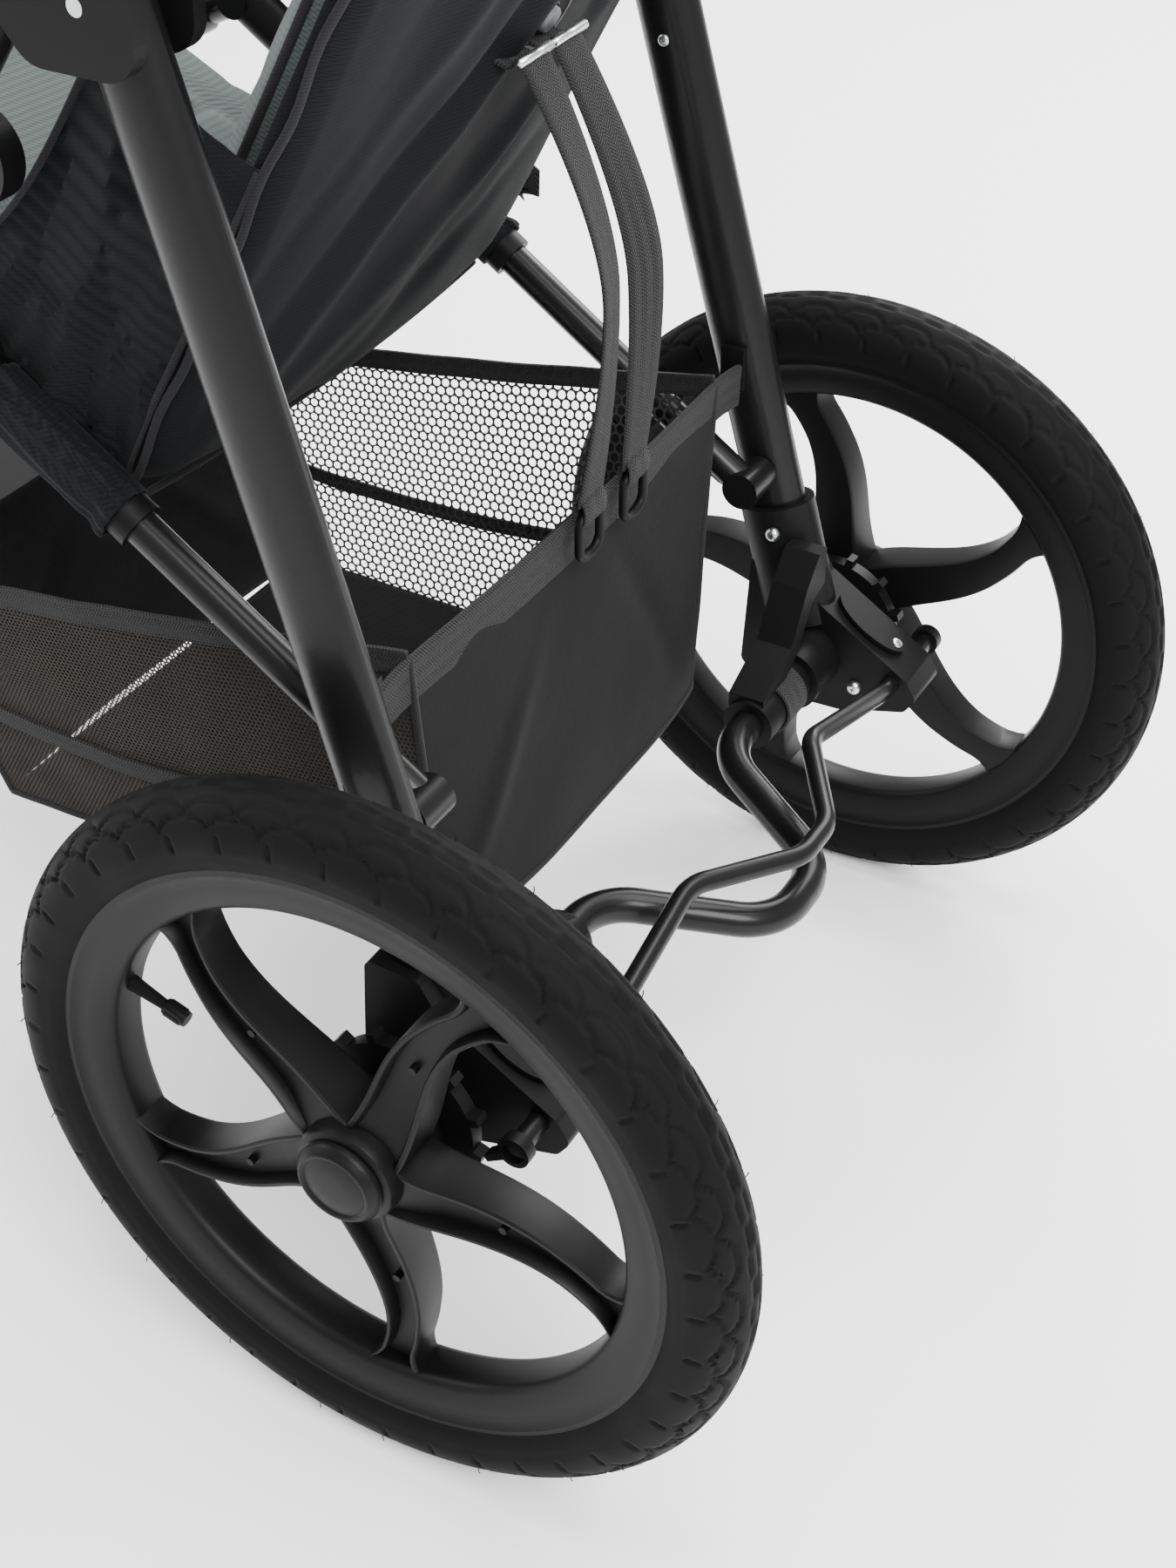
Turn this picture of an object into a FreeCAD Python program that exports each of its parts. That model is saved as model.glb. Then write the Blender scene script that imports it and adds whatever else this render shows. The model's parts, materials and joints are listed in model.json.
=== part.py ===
import FreeCAD, Part
import math
import os
import re
import Sketcher

# Three-wheeled baby stroller: push bar, folding rear legs, reclining hammock seat,
# canopy, under-seat basket and foot brake.
# Row frame: +Z up, the stroller faces -Y, +X is its own left side. Heights start at
# the floor. Fore-and-aft places are written from the rear wheel axle, and rear_axle_y
# moves them all so that the origin lies under the middle of the object.

Vector = FreeCAD.Vector
Rotation = FreeCAD.Rotation
Placement = FreeCAD.Placement
X_AXIS, Y_AXIS, Z_AXIS = Vector(1, 0, 0), Vector(0, 1, 0), Vector(0, 0, 1)
SIDEWAYS = Rotation(Vector(1, 1, 1), 120)  # a body's own X, Y, Z become Y, Z, X

doc = FreeCAD.newDocument("stroller")
sheet = doc.addObject("Spreadsheet::Sheet", "sizes")

DRIVING_SIZES = {
    # rear wheels and brake
    "rear_tyre_radius": 200.0, "rear_tyre_section": 22.0,     "rear_rim_half_width": 17.0,
    "rear_hub_radius": 27.0, "hub_half_width": 24.0, "spoke_root_width": 28.0,
    "spoke_tip_width": 18.0, "spoke_depth": 16.0, "hub_cap_radius": 23.0,
    "hub_cap_height": 9.0, "wheel_pin_radius": 6.0, "running_gap": 0.06, "body_gap": 0.4,
    "brake_tip_radius": 46.0, "brake_root_radius": 41.0, "brake_ring_width": 8.0,
    "brake_tooth_width": 5.4, "brake_pivot_back": 62.0, "brake_pivot_up": 203.0,
    "brake_bar_radius": 5.5, "brake_bend_half": 72.0, "brake_bend_back": 62.0,
    "brake_bend_up": 237.0, "brake_bow_half": 15.0, "brake_bow_back": 99.0,
    "brake_bow_up": 231.0, "pawl_length": 18.5, "pawl_width": 3.4, "pawl_turn": 33.0,
    # rear legs, axle tube and housings
    "leg_half_spread": 200.0, "leg_lean": 0.2823, "leg_foot_back": 5.7, "leg_depth": 36.0,
    "leg_width": 26.0, "leg_bottom_up": 246.0, "hinge_up": 694.0, "leg_wall": 1.8,
    "socket_top_up": 300.0, "socket_wall": 5.0, "axle_tube_radius": 9.5,
    "axle_tube_back": 9.0, "axle_tube_up": 207.0, "axle_bend_half": 74.0,
    "axle_bow_half": 27.0, "axle_bow_back": 92.0, "axle_bow_up": 190.0,
    "sleeve_radius": 15.5, "sleeve_end": 105.0, "boss_radius": 20.0,
    "fit_gap": 0.2,
    # telescoping struts
    "strut_radius": 9.2, "strut_foot_back": -29.0,
    "strut_foot_up": 322.0, "strut_head_back": -357.0, "strut_head_up": 548.0,
    "strut_sleeve_radius": 12.5, "strut_sleeve_length": 213.0, "strut_overlap": 35.0,
    # front frame, swivel and front wheel
    "front_tube_radius": 14.0, "tube_wall": 1.6, "front_tube_top_back": -154.0,
    "front_tube_top_up": 735.0, "knee_back": -256.0, "knee_up": 596.0,
    "turn_in_back": -425.0, "turn_in_up": 520.0, "swivel_back": -747.0, "head_up": 372.0,
    "head_radius": 27.0, "head_bottom_up": 338.0, "head_height": 64.0,
    "socket_radius": 18.0, "front_axle_back": -702.0, "front_tyre_radius": 152.5,
    "front_tyre_section": 21.0, "front_rim_half_width": 15.0, "front_hub_radius": 19.0,
    "front_hub_half": 22.0,
    "stem_radius": 11.0, "fork_blade": 7.0, "crossbar_back": -408.0,
    "crossbar_up": 518.0, "crossbar_radius": 8.0,
    # hinge knuckles, handle, canopy
    "hinge_gap": 0.6, "plate_thickness": 8.0, "knuckle_radius": 27.0,
    "handle_pivot_back": -134.0, "handle_pivot_up": 776.0, "handle_tube_radius": 13.0,
    "handle_reach": 400.0, "handle_lean": 54.0, "handle_bend": 62.0, "grip_radius": 17.0,
    "lock_sleeve_radius": 18.5, "lock_sleeve_length": 42.0,
    "lock_sleeve_start": 52.0, "canopy_reach": 310.0, "bow_radius": 2.5,
    "bow_spacing": 5.5, "canopy_skin": 1.7,
    "front_bow_lean": 150.0, "middle_bow_lean": 104.0, "rear_bow_lean": 58.0,
    # seat and backrest
    "recline_back": -196.0, "recline_up": 440.0, "back_lean": 61.0, "back_length": 470.0,
    "back_thickness": 40.0, "board_thickness": 5.0,
    "wing_thickness": 3.0, "seat_thickness": 30.0,
    "cuff_start": 120.0, "cuff_length": 85.0,
    # basket
    "basket_back": -42.0, "basket_top_up": 388.0, "basket_front": -376.0,
    "basket_front_up": 334.0, "basket_floor_up": 196.0, "basket_taper": 20.0, "basket_wall": 3.0,
    # bumper bar and footrest
    "bumper_back": -240.0, "bumper_up": 600.0, "bumper_reach": 185.0,
    "bumper_radius": 8.0, "foam_radius": 15.0,
    "footrest_half": 118.0, "footrest_back": -508.0, "footrest_up": 272.0,
    "footrest_radius": 6.0, "footrest_depth": 72.0,
}
DERIVED_SIZES = {
    "strut_half_spread": "leg_half_spread - 30",
    "rear_track_half": "leg_half_spread + 73",
    "housing_inner": "leg_half_spread - 11",
    "housing_outer": "leg_half_spread + 24",
    "bumper_half": "leg_half_spread - 22",
    "back_half_width": "leg_half_spread - 49",
    "seat_half_width": "leg_half_spread - 50",
    "wing_inner": "leg_half_spread - 47.5",
    "canopy_half_width": "leg_half_spread - 40",
    "grip_half_length": "leg_half_spread - 72",
    "basket_half_top": "leg_half_spread - 44",
    "rear_rim_radius": "rear_tyre_radius - 34",
    "rear_rim_inner": "rear_tyre_radius - 60",
    "front_rim_radius": "front_tyre_radius - 33.5",
    "front_rim_inner": "front_tyre_radius - 54.5",
    "rear_axle_y": "(front_tyre_radius - front_axle_back - rear_tyre_radius) / 2",
    "hinge_back": "leg_foot_back - leg_lean * (hinge_up - rear_tyre_radius)",
    "wheel_face": "rear_track_half - hub_half_width",
}
for row, (alias, number) in enumerate(DRIVING_SIZES.items(), start=1):
    sheet.set(f"A{row}", alias)
    sheet.set(f"B{row}", str(number))
    sheet.setAlias(f"B{row}", alias)
for row, (alias, formula) in enumerate(DERIVED_SIZES.items(), start=len(DRIVING_SIZES) + 1):
    sheet.set(f"A{row}", alias)
    sheet.set(f"B{row}", "=" + formula)
    sheet.setAlias(f"B{row}", alias)
doc.recompute()

ALIASES = set(DRIVING_SIZES) | set(DERIVED_SIZES)
nodes = []  # the objects that become files


def mm(formula):
    """A formula of sheet aliases as a number."""
    return float(sheet.evalExpression(str(formula)))


def bind(thing, prop, formula):
    """Tie one property to a formula of sheet aliases."""
    def prefixed(match):
        word = match.group(0)
        return "sizes." + word if word in ALIASES else word
    thing.setExpression(prop, re.sub(r"[a-z_]+", prefixed, str(formula)))


def keep(label, thing):
    thing.Label = label
    nodes.append(thing)
    return thing


def place(thing, x, y, z):
    """Put a piece where three formulas say, measured from the middle of the rear axle."""
    bind(thing, "Placement.Base.x", x)
    bind(thing, "Placement.Base.y", f"{y} + rear_axle_y")
    bind(thing, "Placement.Base.z", z)


def cylinder(name, radius, length, x, y, z, axis=X_AXIS):
    thing = doc.addObject("Part::Cylinder", name)
    thing.Placement = Placement(Vector(), Rotation(Z_AXIS, axis))
    bind(thing, "Radius", radius)
    bind(thing, "Height", length)
    place(thing, x, y, z)
    return thing


def box(name, sides, x, y, z, turn=0.0):
    """A box with its corner at x, y, z, turned about its own X edge."""
    thing = doc.addObject("Part::Box", name)
    thing.Placement = Placement(Vector(), Rotation(X_AXIS, turn))
    for prop, formula in zip(("Length", "Width", "Height"), sides):
        bind(thing, prop, formula)
    place(thing, x, y, z)
    return thing


def cut(name, base, tool):
    thing = doc.addObject("Part::Cut", name)
    thing.Base, thing.Tool = base, tool
    thing.Refine = False
    return thing


def fuse(name, pieces):
    thing = doc.addObject("Part::MultiFuse", name)
    thing.Shapes = pieces
    thing.Refine = False
    return thing


def group(name, pieces):
    """Separate solids that share one node."""
    thing = doc.addObject("Part::Compound", name)
    thing.Links = pieces
    return thing


def mirrored(name, source):
    """The same piece on the other side of the stroller."""
    thing = doc.addObject("Part::Mirroring", name)
    thing.Source = source
    thing.Normal = X_AXIS
    return thing


def keep_both_sides(label, source):
    """A left node and its mirror image as a right node."""
    keep(label.replace("SIDE", "left"), source)
    keep(label.replace("SIDE", "right"), mirrored(source.Name + "_right", source))


def keep_as_pair(label, source):
    """One node that holds a piece and its mirror image as two solids."""
    keep(label, group(label, [source, mirrored(source.Name + "_right", source)]))


def outline(body, name, role, points, offset="0"):
    """A closed sketch whose every corner is tied to two formulas."""
    sketch = body.newObject("Sketcher::SketchObject", name)
    plane = next(f for f in body.Origin.OriginFeatures if f.Role == role)
    sketch.AttachmentSupport = [(plane, "")]
    sketch.MapMode = "FlatFace"
    bind(sketch, "AttachmentOffset.Base.z", offset)
    corners = [Vector(mm(u), mm(v), 0) for u, v in points]
    for i, corner in enumerate(corners):
        sketch.addGeometry(Part.LineSegment(corner, corners[(i + 1) % len(corners)]))
    for i in range(len(corners)):
        after = (i + 1) % len(corners)
        sketch.addConstraint(Sketcher.Constraint("Coincident", i, 2, after, 1))
    for i, (u, v) in enumerate(points):
        for kind, formula in (("DistanceX", u), ("DistanceY", v)):
            constraint = Sketcher.Constraint(kind, -1, 1, i, 1, mm(formula))
            bind(sketch, f"Constraints[{sketch.addConstraint(constraint)}]", formula)
    return sketch


def pad(body, name, sketch, length, midplane=False):
    feature = body.newObject("PartDesign::Pad", name)
    feature.Profile = sketch
    if midplane:
        feature.SideType = "Symmetric"
    bind(feature, "Length", length)
    return feature


def turned(body, name, points):
    """A revolved solid from an outline of (radius, place along the axis)."""
    sketch = outline(body, name + "_outline", "XZ_Plane", points)
    feature = body.newObject("PartDesign::Revolution", name)
    feature.Profile = sketch
    feature.ReferenceAxis = (sketch, ["V_Axis"])
    feature.Angle = 360
    return feature


def ring_of(body, name, feature, count):
    """Copies of a feature around the body's own Z axis."""
    pattern = body.newObject("PartDesign::PolarPattern", name)
    pattern.Originals = [feature]
    axis = next(f for f in body.Origin.OriginFeatures if f.Role == "Z_Axis")
    pattern.Axis = (axis, [""])
    pattern.Occurrences = count
    pattern.Angle = 360
    body.Tip = pattern
    return pattern


def side_plate(name, points, x, thickness, corner_radius):
    """A flat plate square to X with rounded corners; points are (back, up)."""
    body = doc.addObject("PartDesign::Body", name)
    body.Placement = Placement(Vector(), SIDEWAYS)
    place(body, x, "0", "0")
    plate = pad(body, name + "_pad", outline(body, name + "_outline", "XY_Plane", points),
                thickness)
    doc.recompute()
    upright = [f"Edge{i}" for i, edge in enumerate(plate.Shape.Edges, start=1)
               if abs(edge.tangentAt(edge.FirstParameter).z) > 0.99]
    rounding = body.newObject("PartDesign::Fillet", name + "_rounding")
    rounding.Base = (plate, upright)
    rounding.Radius = corner_radius
    return body


def rounded_path(corners, bend_radius):
    """Straight runs joined by tangent arcs."""
    edges, start = [], corners[0]
    for before, corner, after in zip(corners, corners[1:], corners[2:]):
        back = (before - corner).normalize()
        ahead = (after - corner).normalize()
        half_turn = (math.pi - back.getAngle(ahead)) / 2
        reach = bend_radius * math.tan(half_turn)
        first, last = corner + back * reach, corner + ahead * reach
        middle_way = (back + ahead).normalize()
        middle = corner + middle_way * (bend_radius / math.cos(half_turn) - bend_radius)
        edges += [Part.LineSegment(start, first).toShape(),
                  Part.Arc(first, middle, last).toShape()]
        start = last
    edges.append(Part.LineSegment(start, corners[-1]).toShape())
    return Part.Wire(edges)


def swept(path, radius):
    start = path.Edges[0]
    heading = start.tangentAt(start.FirstParameter)
    circle = Part.makeCircle(radius, start.valueAt(start.FirstParameter), heading)
    return path.makePipeShell([Part.Wire(circle)], True, True)


def bent_tube(name, corners, bend_radius, radius, wall=None):
    """A round tube, or a rod where no wall is given, bent along its corners."""
    corners = [Vector(*(mm(c) for c in corner)) for corner in corners]
    path = rounded_path(corners, bend_radius)
    shape = swept(path, mm(radius))
    if wall:
        shape = shape.cut(swept(path, mm(radius) - mm(wall)))
    thing = doc.addObject("Part::Feature", name)
    thing.Shape = shape
    bind(thing, "Placement.Base.y", "rear_axle_y")
    return thing


def along(back, up, lean, distance, across="0"):
    """Formulas of a point on a line that leans from a pivot, and off to its rear side."""
    y = f"{back} + ({distance}) * cos({lean}) + ({across}) * sin({lean})"
    z = f"{up} + ({distance}) * sin({lean}) - ({across}) * cos({lean})"
    return y, z


def oval_rod(name, depth, width, bottom_up, top_up):
    """An upright oval rod along the leg's own leaning axis."""
    oval = doc.addObject("Part::Ellipse", name + "_section")
    bind(oval, "MajorRadius", depth)
    bind(oval, "MinorRadius", width)
    lean = math.degrees(math.atan(mm("leg_lean")))
    oval.Placement = Placement(Vector(), Rotation(X_AXIS, lean) * Rotation(Z_AXIS, 90))
    foot = f"leg_foot_back - leg_lean * ({bottom_up} - rear_tyre_radius)"
    place(oval, "leg_half_spread", foot, bottom_up)
    rod = doc.addObject("Part::Extrusion", name)
    rod.Base = oval
    rod.DirMode = "Normal"
    rod.Solid = True
    bind(rod, "LengthFwd", f"({top_up} - ({bottom_up})) * sqrt(1 + leg_lean * leg_lean)")
    return rod


# ---------------------------------------------------------------- rear wheels
def tyre(name, radius, section, rim_radius, rim_half_width, x, back):
    """A round tyre cut back to the rim's flanges, with a bead between them."""
    torus = doc.addObject("Part::Torus", name + "_round")
    torus.Placement = Placement(Vector(), Rotation(Z_AXIS, X_AXIS))
    bind(torus, "Radius1", f"{radius} - {section}")
    bind(torus, "Radius2", section)
    place(torus, x, back, radius)
    inside = cylinder(name + "_inside", f"{rim_radius} + body_gap", f"2 * {section} + 2",
                      f"{x} - {section} - 1", back, radius)
    tread = cut(name + "_tread", torus, inside)
    bead_half = f"({rim_half_width} - 6.4)"
    bead = cylinder(name + "_bead", f"{rim_radius} + 4", f"2 * {bead_half}",
                    f"{x} - {bead_half}", back, radius)
    bead_bore = cylinder(name + "_bead_bore", f"{rim_radius} - 12.6", f"2 * {section}",
                         f"{x} - {section}", back, radius)
    return fuse(name, [tread, cut(name + "_bead_ring", bead, bead_bore)])


def rim(name, rim_radius, inner, half_width, hub_radius, hub_half, pin, spokes, x, back, up):
    """Hub, five tapered spokes and a channelled rim, moulded as one."""
    body = doc.addObject("PartDesign::Body", name)
    body.Placement = Placement(Vector(), SIDEWAYS)
    place(body, x, back, up)
    turned(body, name + "_hub", [
        (f"{pin} + running_gap", f"-({hub_half})"), (hub_radius, f"-({hub_half})"),
        (hub_radius, hub_half), (f"{pin} + running_gap", hub_half)])
    spoke = outline(body, name + "_spoke_outline", "XY_Plane", [
        (f"{hub_radius} - 4", "spoke_root_width / -2"), (f"{inner} + 3", "spoke_tip_width / -2"),
        (f"{inner} + 3", "spoke_tip_width / 2"), (f"{hub_radius} - 4", "spoke_root_width / 2")])
    arm = pad(body, name + "_spoke", spoke, "spoke_depth", midplane=True)
    ring_of(body, name + "_spokes", arm, spokes)
    ring = turned(body, name + "_ring", [
        (inner, f"-({half_width})"), (rim_radius, f"-({half_width})"),
        (rim_radius, f"4 - {half_width}"), (f"{rim_radius} - 13", f"6 - {half_width}"),
        (f"{rim_radius} - 13", f"{half_width} - 6"), (rim_radius, f"{half_width} - 4"),
        (rim_radius, half_width), (inner, half_width)])
    body.Tip = ring
    return body


rear_tyre = tyre("rear_tyre", "rear_tyre_radius", "rear_tyre_section", "rear_rim_radius",
                 "rear_rim_half_width", "rear_track_half", "0")
keep_both_sides("rear_SIDE_tyre", rear_tyre)
rear_rim = rim("rear_rim", "rear_rim_radius", "rear_rim_inner", "rear_rim_half_width",
               "rear_hub_radius", "hub_half_width", "wheel_pin_radius", 5,
               "rear_track_half", "0", "rear_tyre_radius")
keep_both_sides("rear_SIDE_rim", rear_rim)

ring_body = doc.addObject("PartDesign::Body", "brake_ring")
ring_body.Placement = Placement(Vector(), SIDEWAYS)
place(ring_body, "wheel_face - brake_ring_width - fit_gap", "0", "rear_tyre_radius")
turned(ring_body, "brake_disc", [
    ("wheel_pin_radius + 4", "0"), ("brake_root_radius", "0"),
    ("brake_root_radius", "brake_ring_width"), ("wheel_pin_radius + 4", "brake_ring_width")])
tooth = pad(ring_body, "brake_tooth", outline(ring_body, "brake_tooth_outline", "XY_Plane", [
    ("brake_root_radius - 1", "brake_tooth_width / -2"),
    ("brake_tip_radius", "brake_tooth_width / -2.6"),
    ("brake_tip_radius", "brake_tooth_width / 2.6"),
    ("brake_root_radius - 1", "brake_tooth_width / 2")]), "brake_ring_width")
BRAKE_TEETH = 12
ring_of(ring_body, "brake_teeth", tooth, BRAKE_TEETH)
pawl_heading = math.degrees(math.atan2(mm("brake_pivot_up - rear_tyre_radius"),
                                       mm("brake_pivot_back")))
ring_body.Placement.Rotation = SIDEWAYS * Rotation(Z_AXIS, pawl_heading + 180 / BRAKE_TEETH)
keep_both_sides("rear_SIDE_brake_ring", ring_body)

cap = doc.addObject("PartDesign::Body", "hub_cap")
cap.Placement = Placement(Vector(), SIDEWAYS)
place(cap, "rear_track_half + hub_half_width + fit_gap", "0", "rear_tyre_radius")
turned(cap, "hub_cap_dome", [
    ("0", "0"), ("hub_cap_radius", "0"), ("hub_cap_radius", "hub_cap_height - 3"),
    ("hub_cap_radius - 3", "hub_cap_height - 1"), ("hub_cap_radius - 8", "hub_cap_height"),
    ("0", "hub_cap_height")])
keep_both_sides("rear_SIDE_hub_cap", cap)

# ---------------------------------------------------------------- rear legs
leg_outer = oval_rod("leg_outer", "leg_depth / 2", "leg_width / 2", "leg_bottom_up",
                     "hinge_up + 15")
leg_inner = oval_rod("leg_inner", "leg_depth / 2 - leg_wall", "leg_width / 2 - leg_wall",
                     "leg_bottom_up - 5", "hinge_up + 20")
leg_bore = cylinder("leg_bore", "4 + running_gap", "60", "leg_half_spread - 30",
                    "hinge_back", "hinge_up")
leg = cut("leg", cut("leg_tube", leg_outer, leg_inner), leg_bore)
keep_both_sides("leg_SIDE", leg)

# ---------------------------------------------------------------- axle housings
socket = oval_rod("socket_outer", "leg_depth / 2 + socket_wall", "leg_width / 2 + socket_wall",
                  "leg_bottom_up - 20", "socket_top_up")
socket_bore = oval_rod("socket_bore", "leg_depth / 2 + fit_gap", "leg_width / 2 + fit_gap",
                       "leg_bottom_up - 1", "socket_top_up + 10")
block = side_plate("housing_block", [
    ("-32", "264"), ("-2", "262"), ("6", "248.5"), ("brake_pivot_back + 10", "207.5"),
    ("brake_pivot_back + 17", "196"), ("brake_pivot_back + 10", "186"), ("30", "174"),
    ("-18", "172"), ("-36", "190")], "housing_inner", "housing_outer - housing_inner", 5)
boss = cylinder("housing_boss", "boss_radius", "35", "158", "axle_tube_back", "axle_tube_up")
sleeve = cylinder("axle_sleeve", "sleeve_radius", "160 - sleeve_end", "sleeve_end",
                  "axle_tube_back", "axle_tube_up")
arm_body = doc.addObject("PartDesign::Body", "stay_arm")
arm_body.Placement = Placement(Vector(), Rotation(X_AXIS, 90))
place(arm_body, "0", "axle_tube_back - 3 + 11", "0")
pad(arm_body, "stay_arm_pad", outline(arm_body, "stay_arm_outline", "XY_Plane", [
    ("186", "286"), ("176", "286"), ("161", "270"), ("143", "240"), ("sleeve_end + 3", "224"),
    ("sleeve_end + 3", "212"), ("124", "215"), ("152", "231"), ("170", "257"), ("186", "262")]),
    "22")
housing_solid = fuse("housing_solid", [socket, block, boss, sleeve, arm_body])
axle_bore = cylinder("axle_bore", "axle_tube_radius + fit_gap", "housing_inner - sleeve_end",
                     "sleeve_end - 2", "axle_tube_back", "axle_tube_up")
pin_bore = cylinder("pin_bore", "wheel_pin_radius + fit_gap", "60", "housing_inner + 8", "0",
                    "rear_tyre_radius")
bar_bore = cylinder("bar_bore", "brake_bar_radius + running_gap", "80", "housing_inner - 20",
                    "brake_pivot_back", "brake_pivot_up")
housing = cut("housing", housing_solid,
              group("housing_bores", [socket_bore, axle_bore, pin_bore, bar_bore]))
keep_both_sides("housing_SIDE", housing)

cover = doc.addObject("Part::Ellipse", "cover_section")
bind(cover, "MajorRadius", "25")
bind(cover, "MinorRadius", "12")
COVER_SLOPE = math.degrees(math.atan2(207.5 - 248.5, mm("brake_pivot_back + 4")))
cover.Placement = Placement(Vector(), Rotation(X_AXIS, COVER_SLOPE) * Rotation(Z_AXIS, 90))
place(cover, "(housing_inner + housing_outer) / 2", "brake_pivot_back / 2 + 9", "228.6")
cover_plate = doc.addObject("Part::Extrusion", "housing_cover")
cover_plate.Base = cover
cover_plate.DirMode = "Normal"
cover_plate.Solid = True
bind(cover_plate, "LengthFwd", "2.4")
keep_as_pair("housing_covers", cover_plate)

axle_tube = bent_tube("axle_tube_bent", [
    ("housing_inner - 8", "axle_tube_back", "axle_tube_up"),
    ("axle_bend_half", "axle_tube_back", "axle_tube_up"),
    ("axle_bow_half", "axle_bow_back", "axle_bow_up"),
    ("-axle_bow_half", "axle_bow_back", "axle_bow_up"),
    ("-axle_bend_half", "axle_tube_back", "axle_tube_up"),
    ("8 - housing_inner", "axle_tube_back", "axle_tube_up")], 38, "axle_tube_radius", "tube_wall")
keep("axle_tube", axle_tube)

pin = cylinder("wheel_pin", "wheel_pin_radius", "rear_track_half + hub_half_width - 1 - 200",
               "200", "0", "rear_tyre_radius")
collar = cylinder("pin_collar", "wheel_pin_radius + 3.5",
                  "wheel_face - brake_ring_width - housing_outer - 2 * body_gap",
                  "housing_outer + body_gap / 2", "0", "rear_tyre_radius")
keep_as_pair("axle_bolts", fuse("axle_bolt", [pin, collar]))

SCREW_SEATS = (("177.6", "-15.4", "287.7"), ("177.6", "-5", "252"), ("184.6", "40", "194"))
screws = [cylinder(f"housing_screw_{i}", "4.2", "4.2", *seat)
          for i, seat in enumerate(SCREW_SEATS)]
keep_as_pair("housing_screws", group("housing_screw_set", screws))

clip = box("basket_clip", ("3.5", "14", "26"), "leg_half_spread - leg_width / 2 - 4",
           "leg_foot_back - leg_lean * (basket_top_up - rear_tyre_radius) - 7",
           "basket_top_up - 16")
keep_as_pair("basket_clips", clip)

# ---------------------------------------------------------------- foot brake
keep("brake_bar", bent_tube("brake_bar_bent", [
    ("housing_outer + 22", "brake_pivot_back", "brake_pivot_up"),
    ("housing_inner - 9", "brake_pivot_back", "brake_pivot_up"),
    ("brake_bend_half", "brake_bend_back", "brake_bend_up"),
    ("brake_bow_half", "brake_bow_back", "brake_bow_up"),
    ("-brake_bow_half", "brake_bow_back", "brake_bow_up"),
    ("-brake_bend_half", "brake_bend_back", "brake_bend_up"),
    ("9 - housing_inner", "brake_pivot_back", "brake_pivot_up"),
    ("-22 - housing_outer", "brake_pivot_back", "brake_pivot_up")], 26, "brake_bar_radius"))

pawl = doc.addObject("PartDesign::Body", "pawl")
pawl.Placement = Placement(Vector(), SIDEWAYS * Rotation(
    Z_AXIS, pawl_heading + 180 + mm("pawl_turn")))
place(pawl, "wheel_face - brake_ring_width - fit_gap", "brake_pivot_back", "brake_pivot_up")
turned(pawl, "pawl_hub", [
    ("brake_bar_radius + 0.1", "0"), ("8.5", "0"), ("8.5", "brake_ring_width - 1"),
    ("brake_bar_radius + 0.1", "brake_ring_width - 1")])
pad(pawl, "pawl_tooth", outline(pawl, "pawl_tooth_outline", "XY_Plane", [
    ("7", "pawl_width / -1.4"), ("pawl_length", "pawl_width / -2"),
    ("pawl_length", "pawl_width / 2"), ("7", "pawl_width / 1.4")]), "brake_ring_width - 1")
keep_as_pair("brake_pawls", pawl)

# ---------------------------------------------------------------- telescoping struts
strut_dy = mm("strut_foot_back - strut_head_back")
strut_dz = mm("strut_foot_up - strut_head_up")
STRUT_LEAN = math.degrees(math.atan2(strut_dz, strut_dy))
STRUT_SPAN = math.hypot(strut_dy, strut_dz)
STRUT_AXIS = Vector(0, strut_dy, strut_dz).normalize()


def strut_point(distance):
    return along("strut_head_back", "strut_head_up", STRUT_LEAN, distance)


sleeve_eye = cylinder("strut_eye", "strut_sleeve_radius - 2", "2 * strut_sleeve_radius",
                      "strut_half_spread - strut_sleeve_radius", "strut_head_back",
                      "strut_head_up")
sleeve_tube = cylinder("strut_sleeve_tube", "strut_sleeve_radius",
                       "strut_sleeve_length - 6", "strut_half_spread", *strut_point("6"),
                       axis=STRUT_AXIS)
sleeve_hollow = cylinder("strut_sleeve_bore", "strut_radius + running_gap", "strut_sleeve_length",
                         "strut_half_spread", *strut_point("14"), axis=STRUT_AXIS)
eye_bore = cylinder("strut_eye_bore", "4 + running_gap", "26", "strut_half_spread - 4",
                    "strut_head_back", "strut_head_up")
strut_outside = fuse("strut_sleeve_solid", [sleeve_eye, sleeve_tube])
keep_both_sides("strut_sleeve_SIDE", cut(
    "strut_sleeve", cut("strut_sleeve_open", strut_outside, sleeve_hollow), eye_bore))

tube_start = "strut_sleeve_length - strut_overlap"
strut_rod = cylinder("strut_rod", "strut_radius", f"{STRUT_SPAN} - ({tube_start}) - 6",
                     "strut_half_spread", *strut_point(tube_start), axis=STRUT_AXIS)
strut_hollow = cylinder("strut_rod_bore", "strut_radius - tube_wall",
                        f"{STRUT_SPAN} - ({tube_start}) - 20", "strut_half_spread",
                        *strut_point(f"{tube_start} - 1"), axis=STRUT_AXIS)
foot_eye = cylinder("strut_foot_eye", "11",
                    "leg_half_spread - leg_width / 2 - 0.6 - strut_half_spread + 9",
                    "strut_half_spread - 9", "strut_foot_back", "strut_foot_up")
keep_both_sides("strut_tube_SIDE", fuse("strut_tube", [
    cut("strut_rod_hollow", strut_rod, strut_hollow), foot_eye]))

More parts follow.
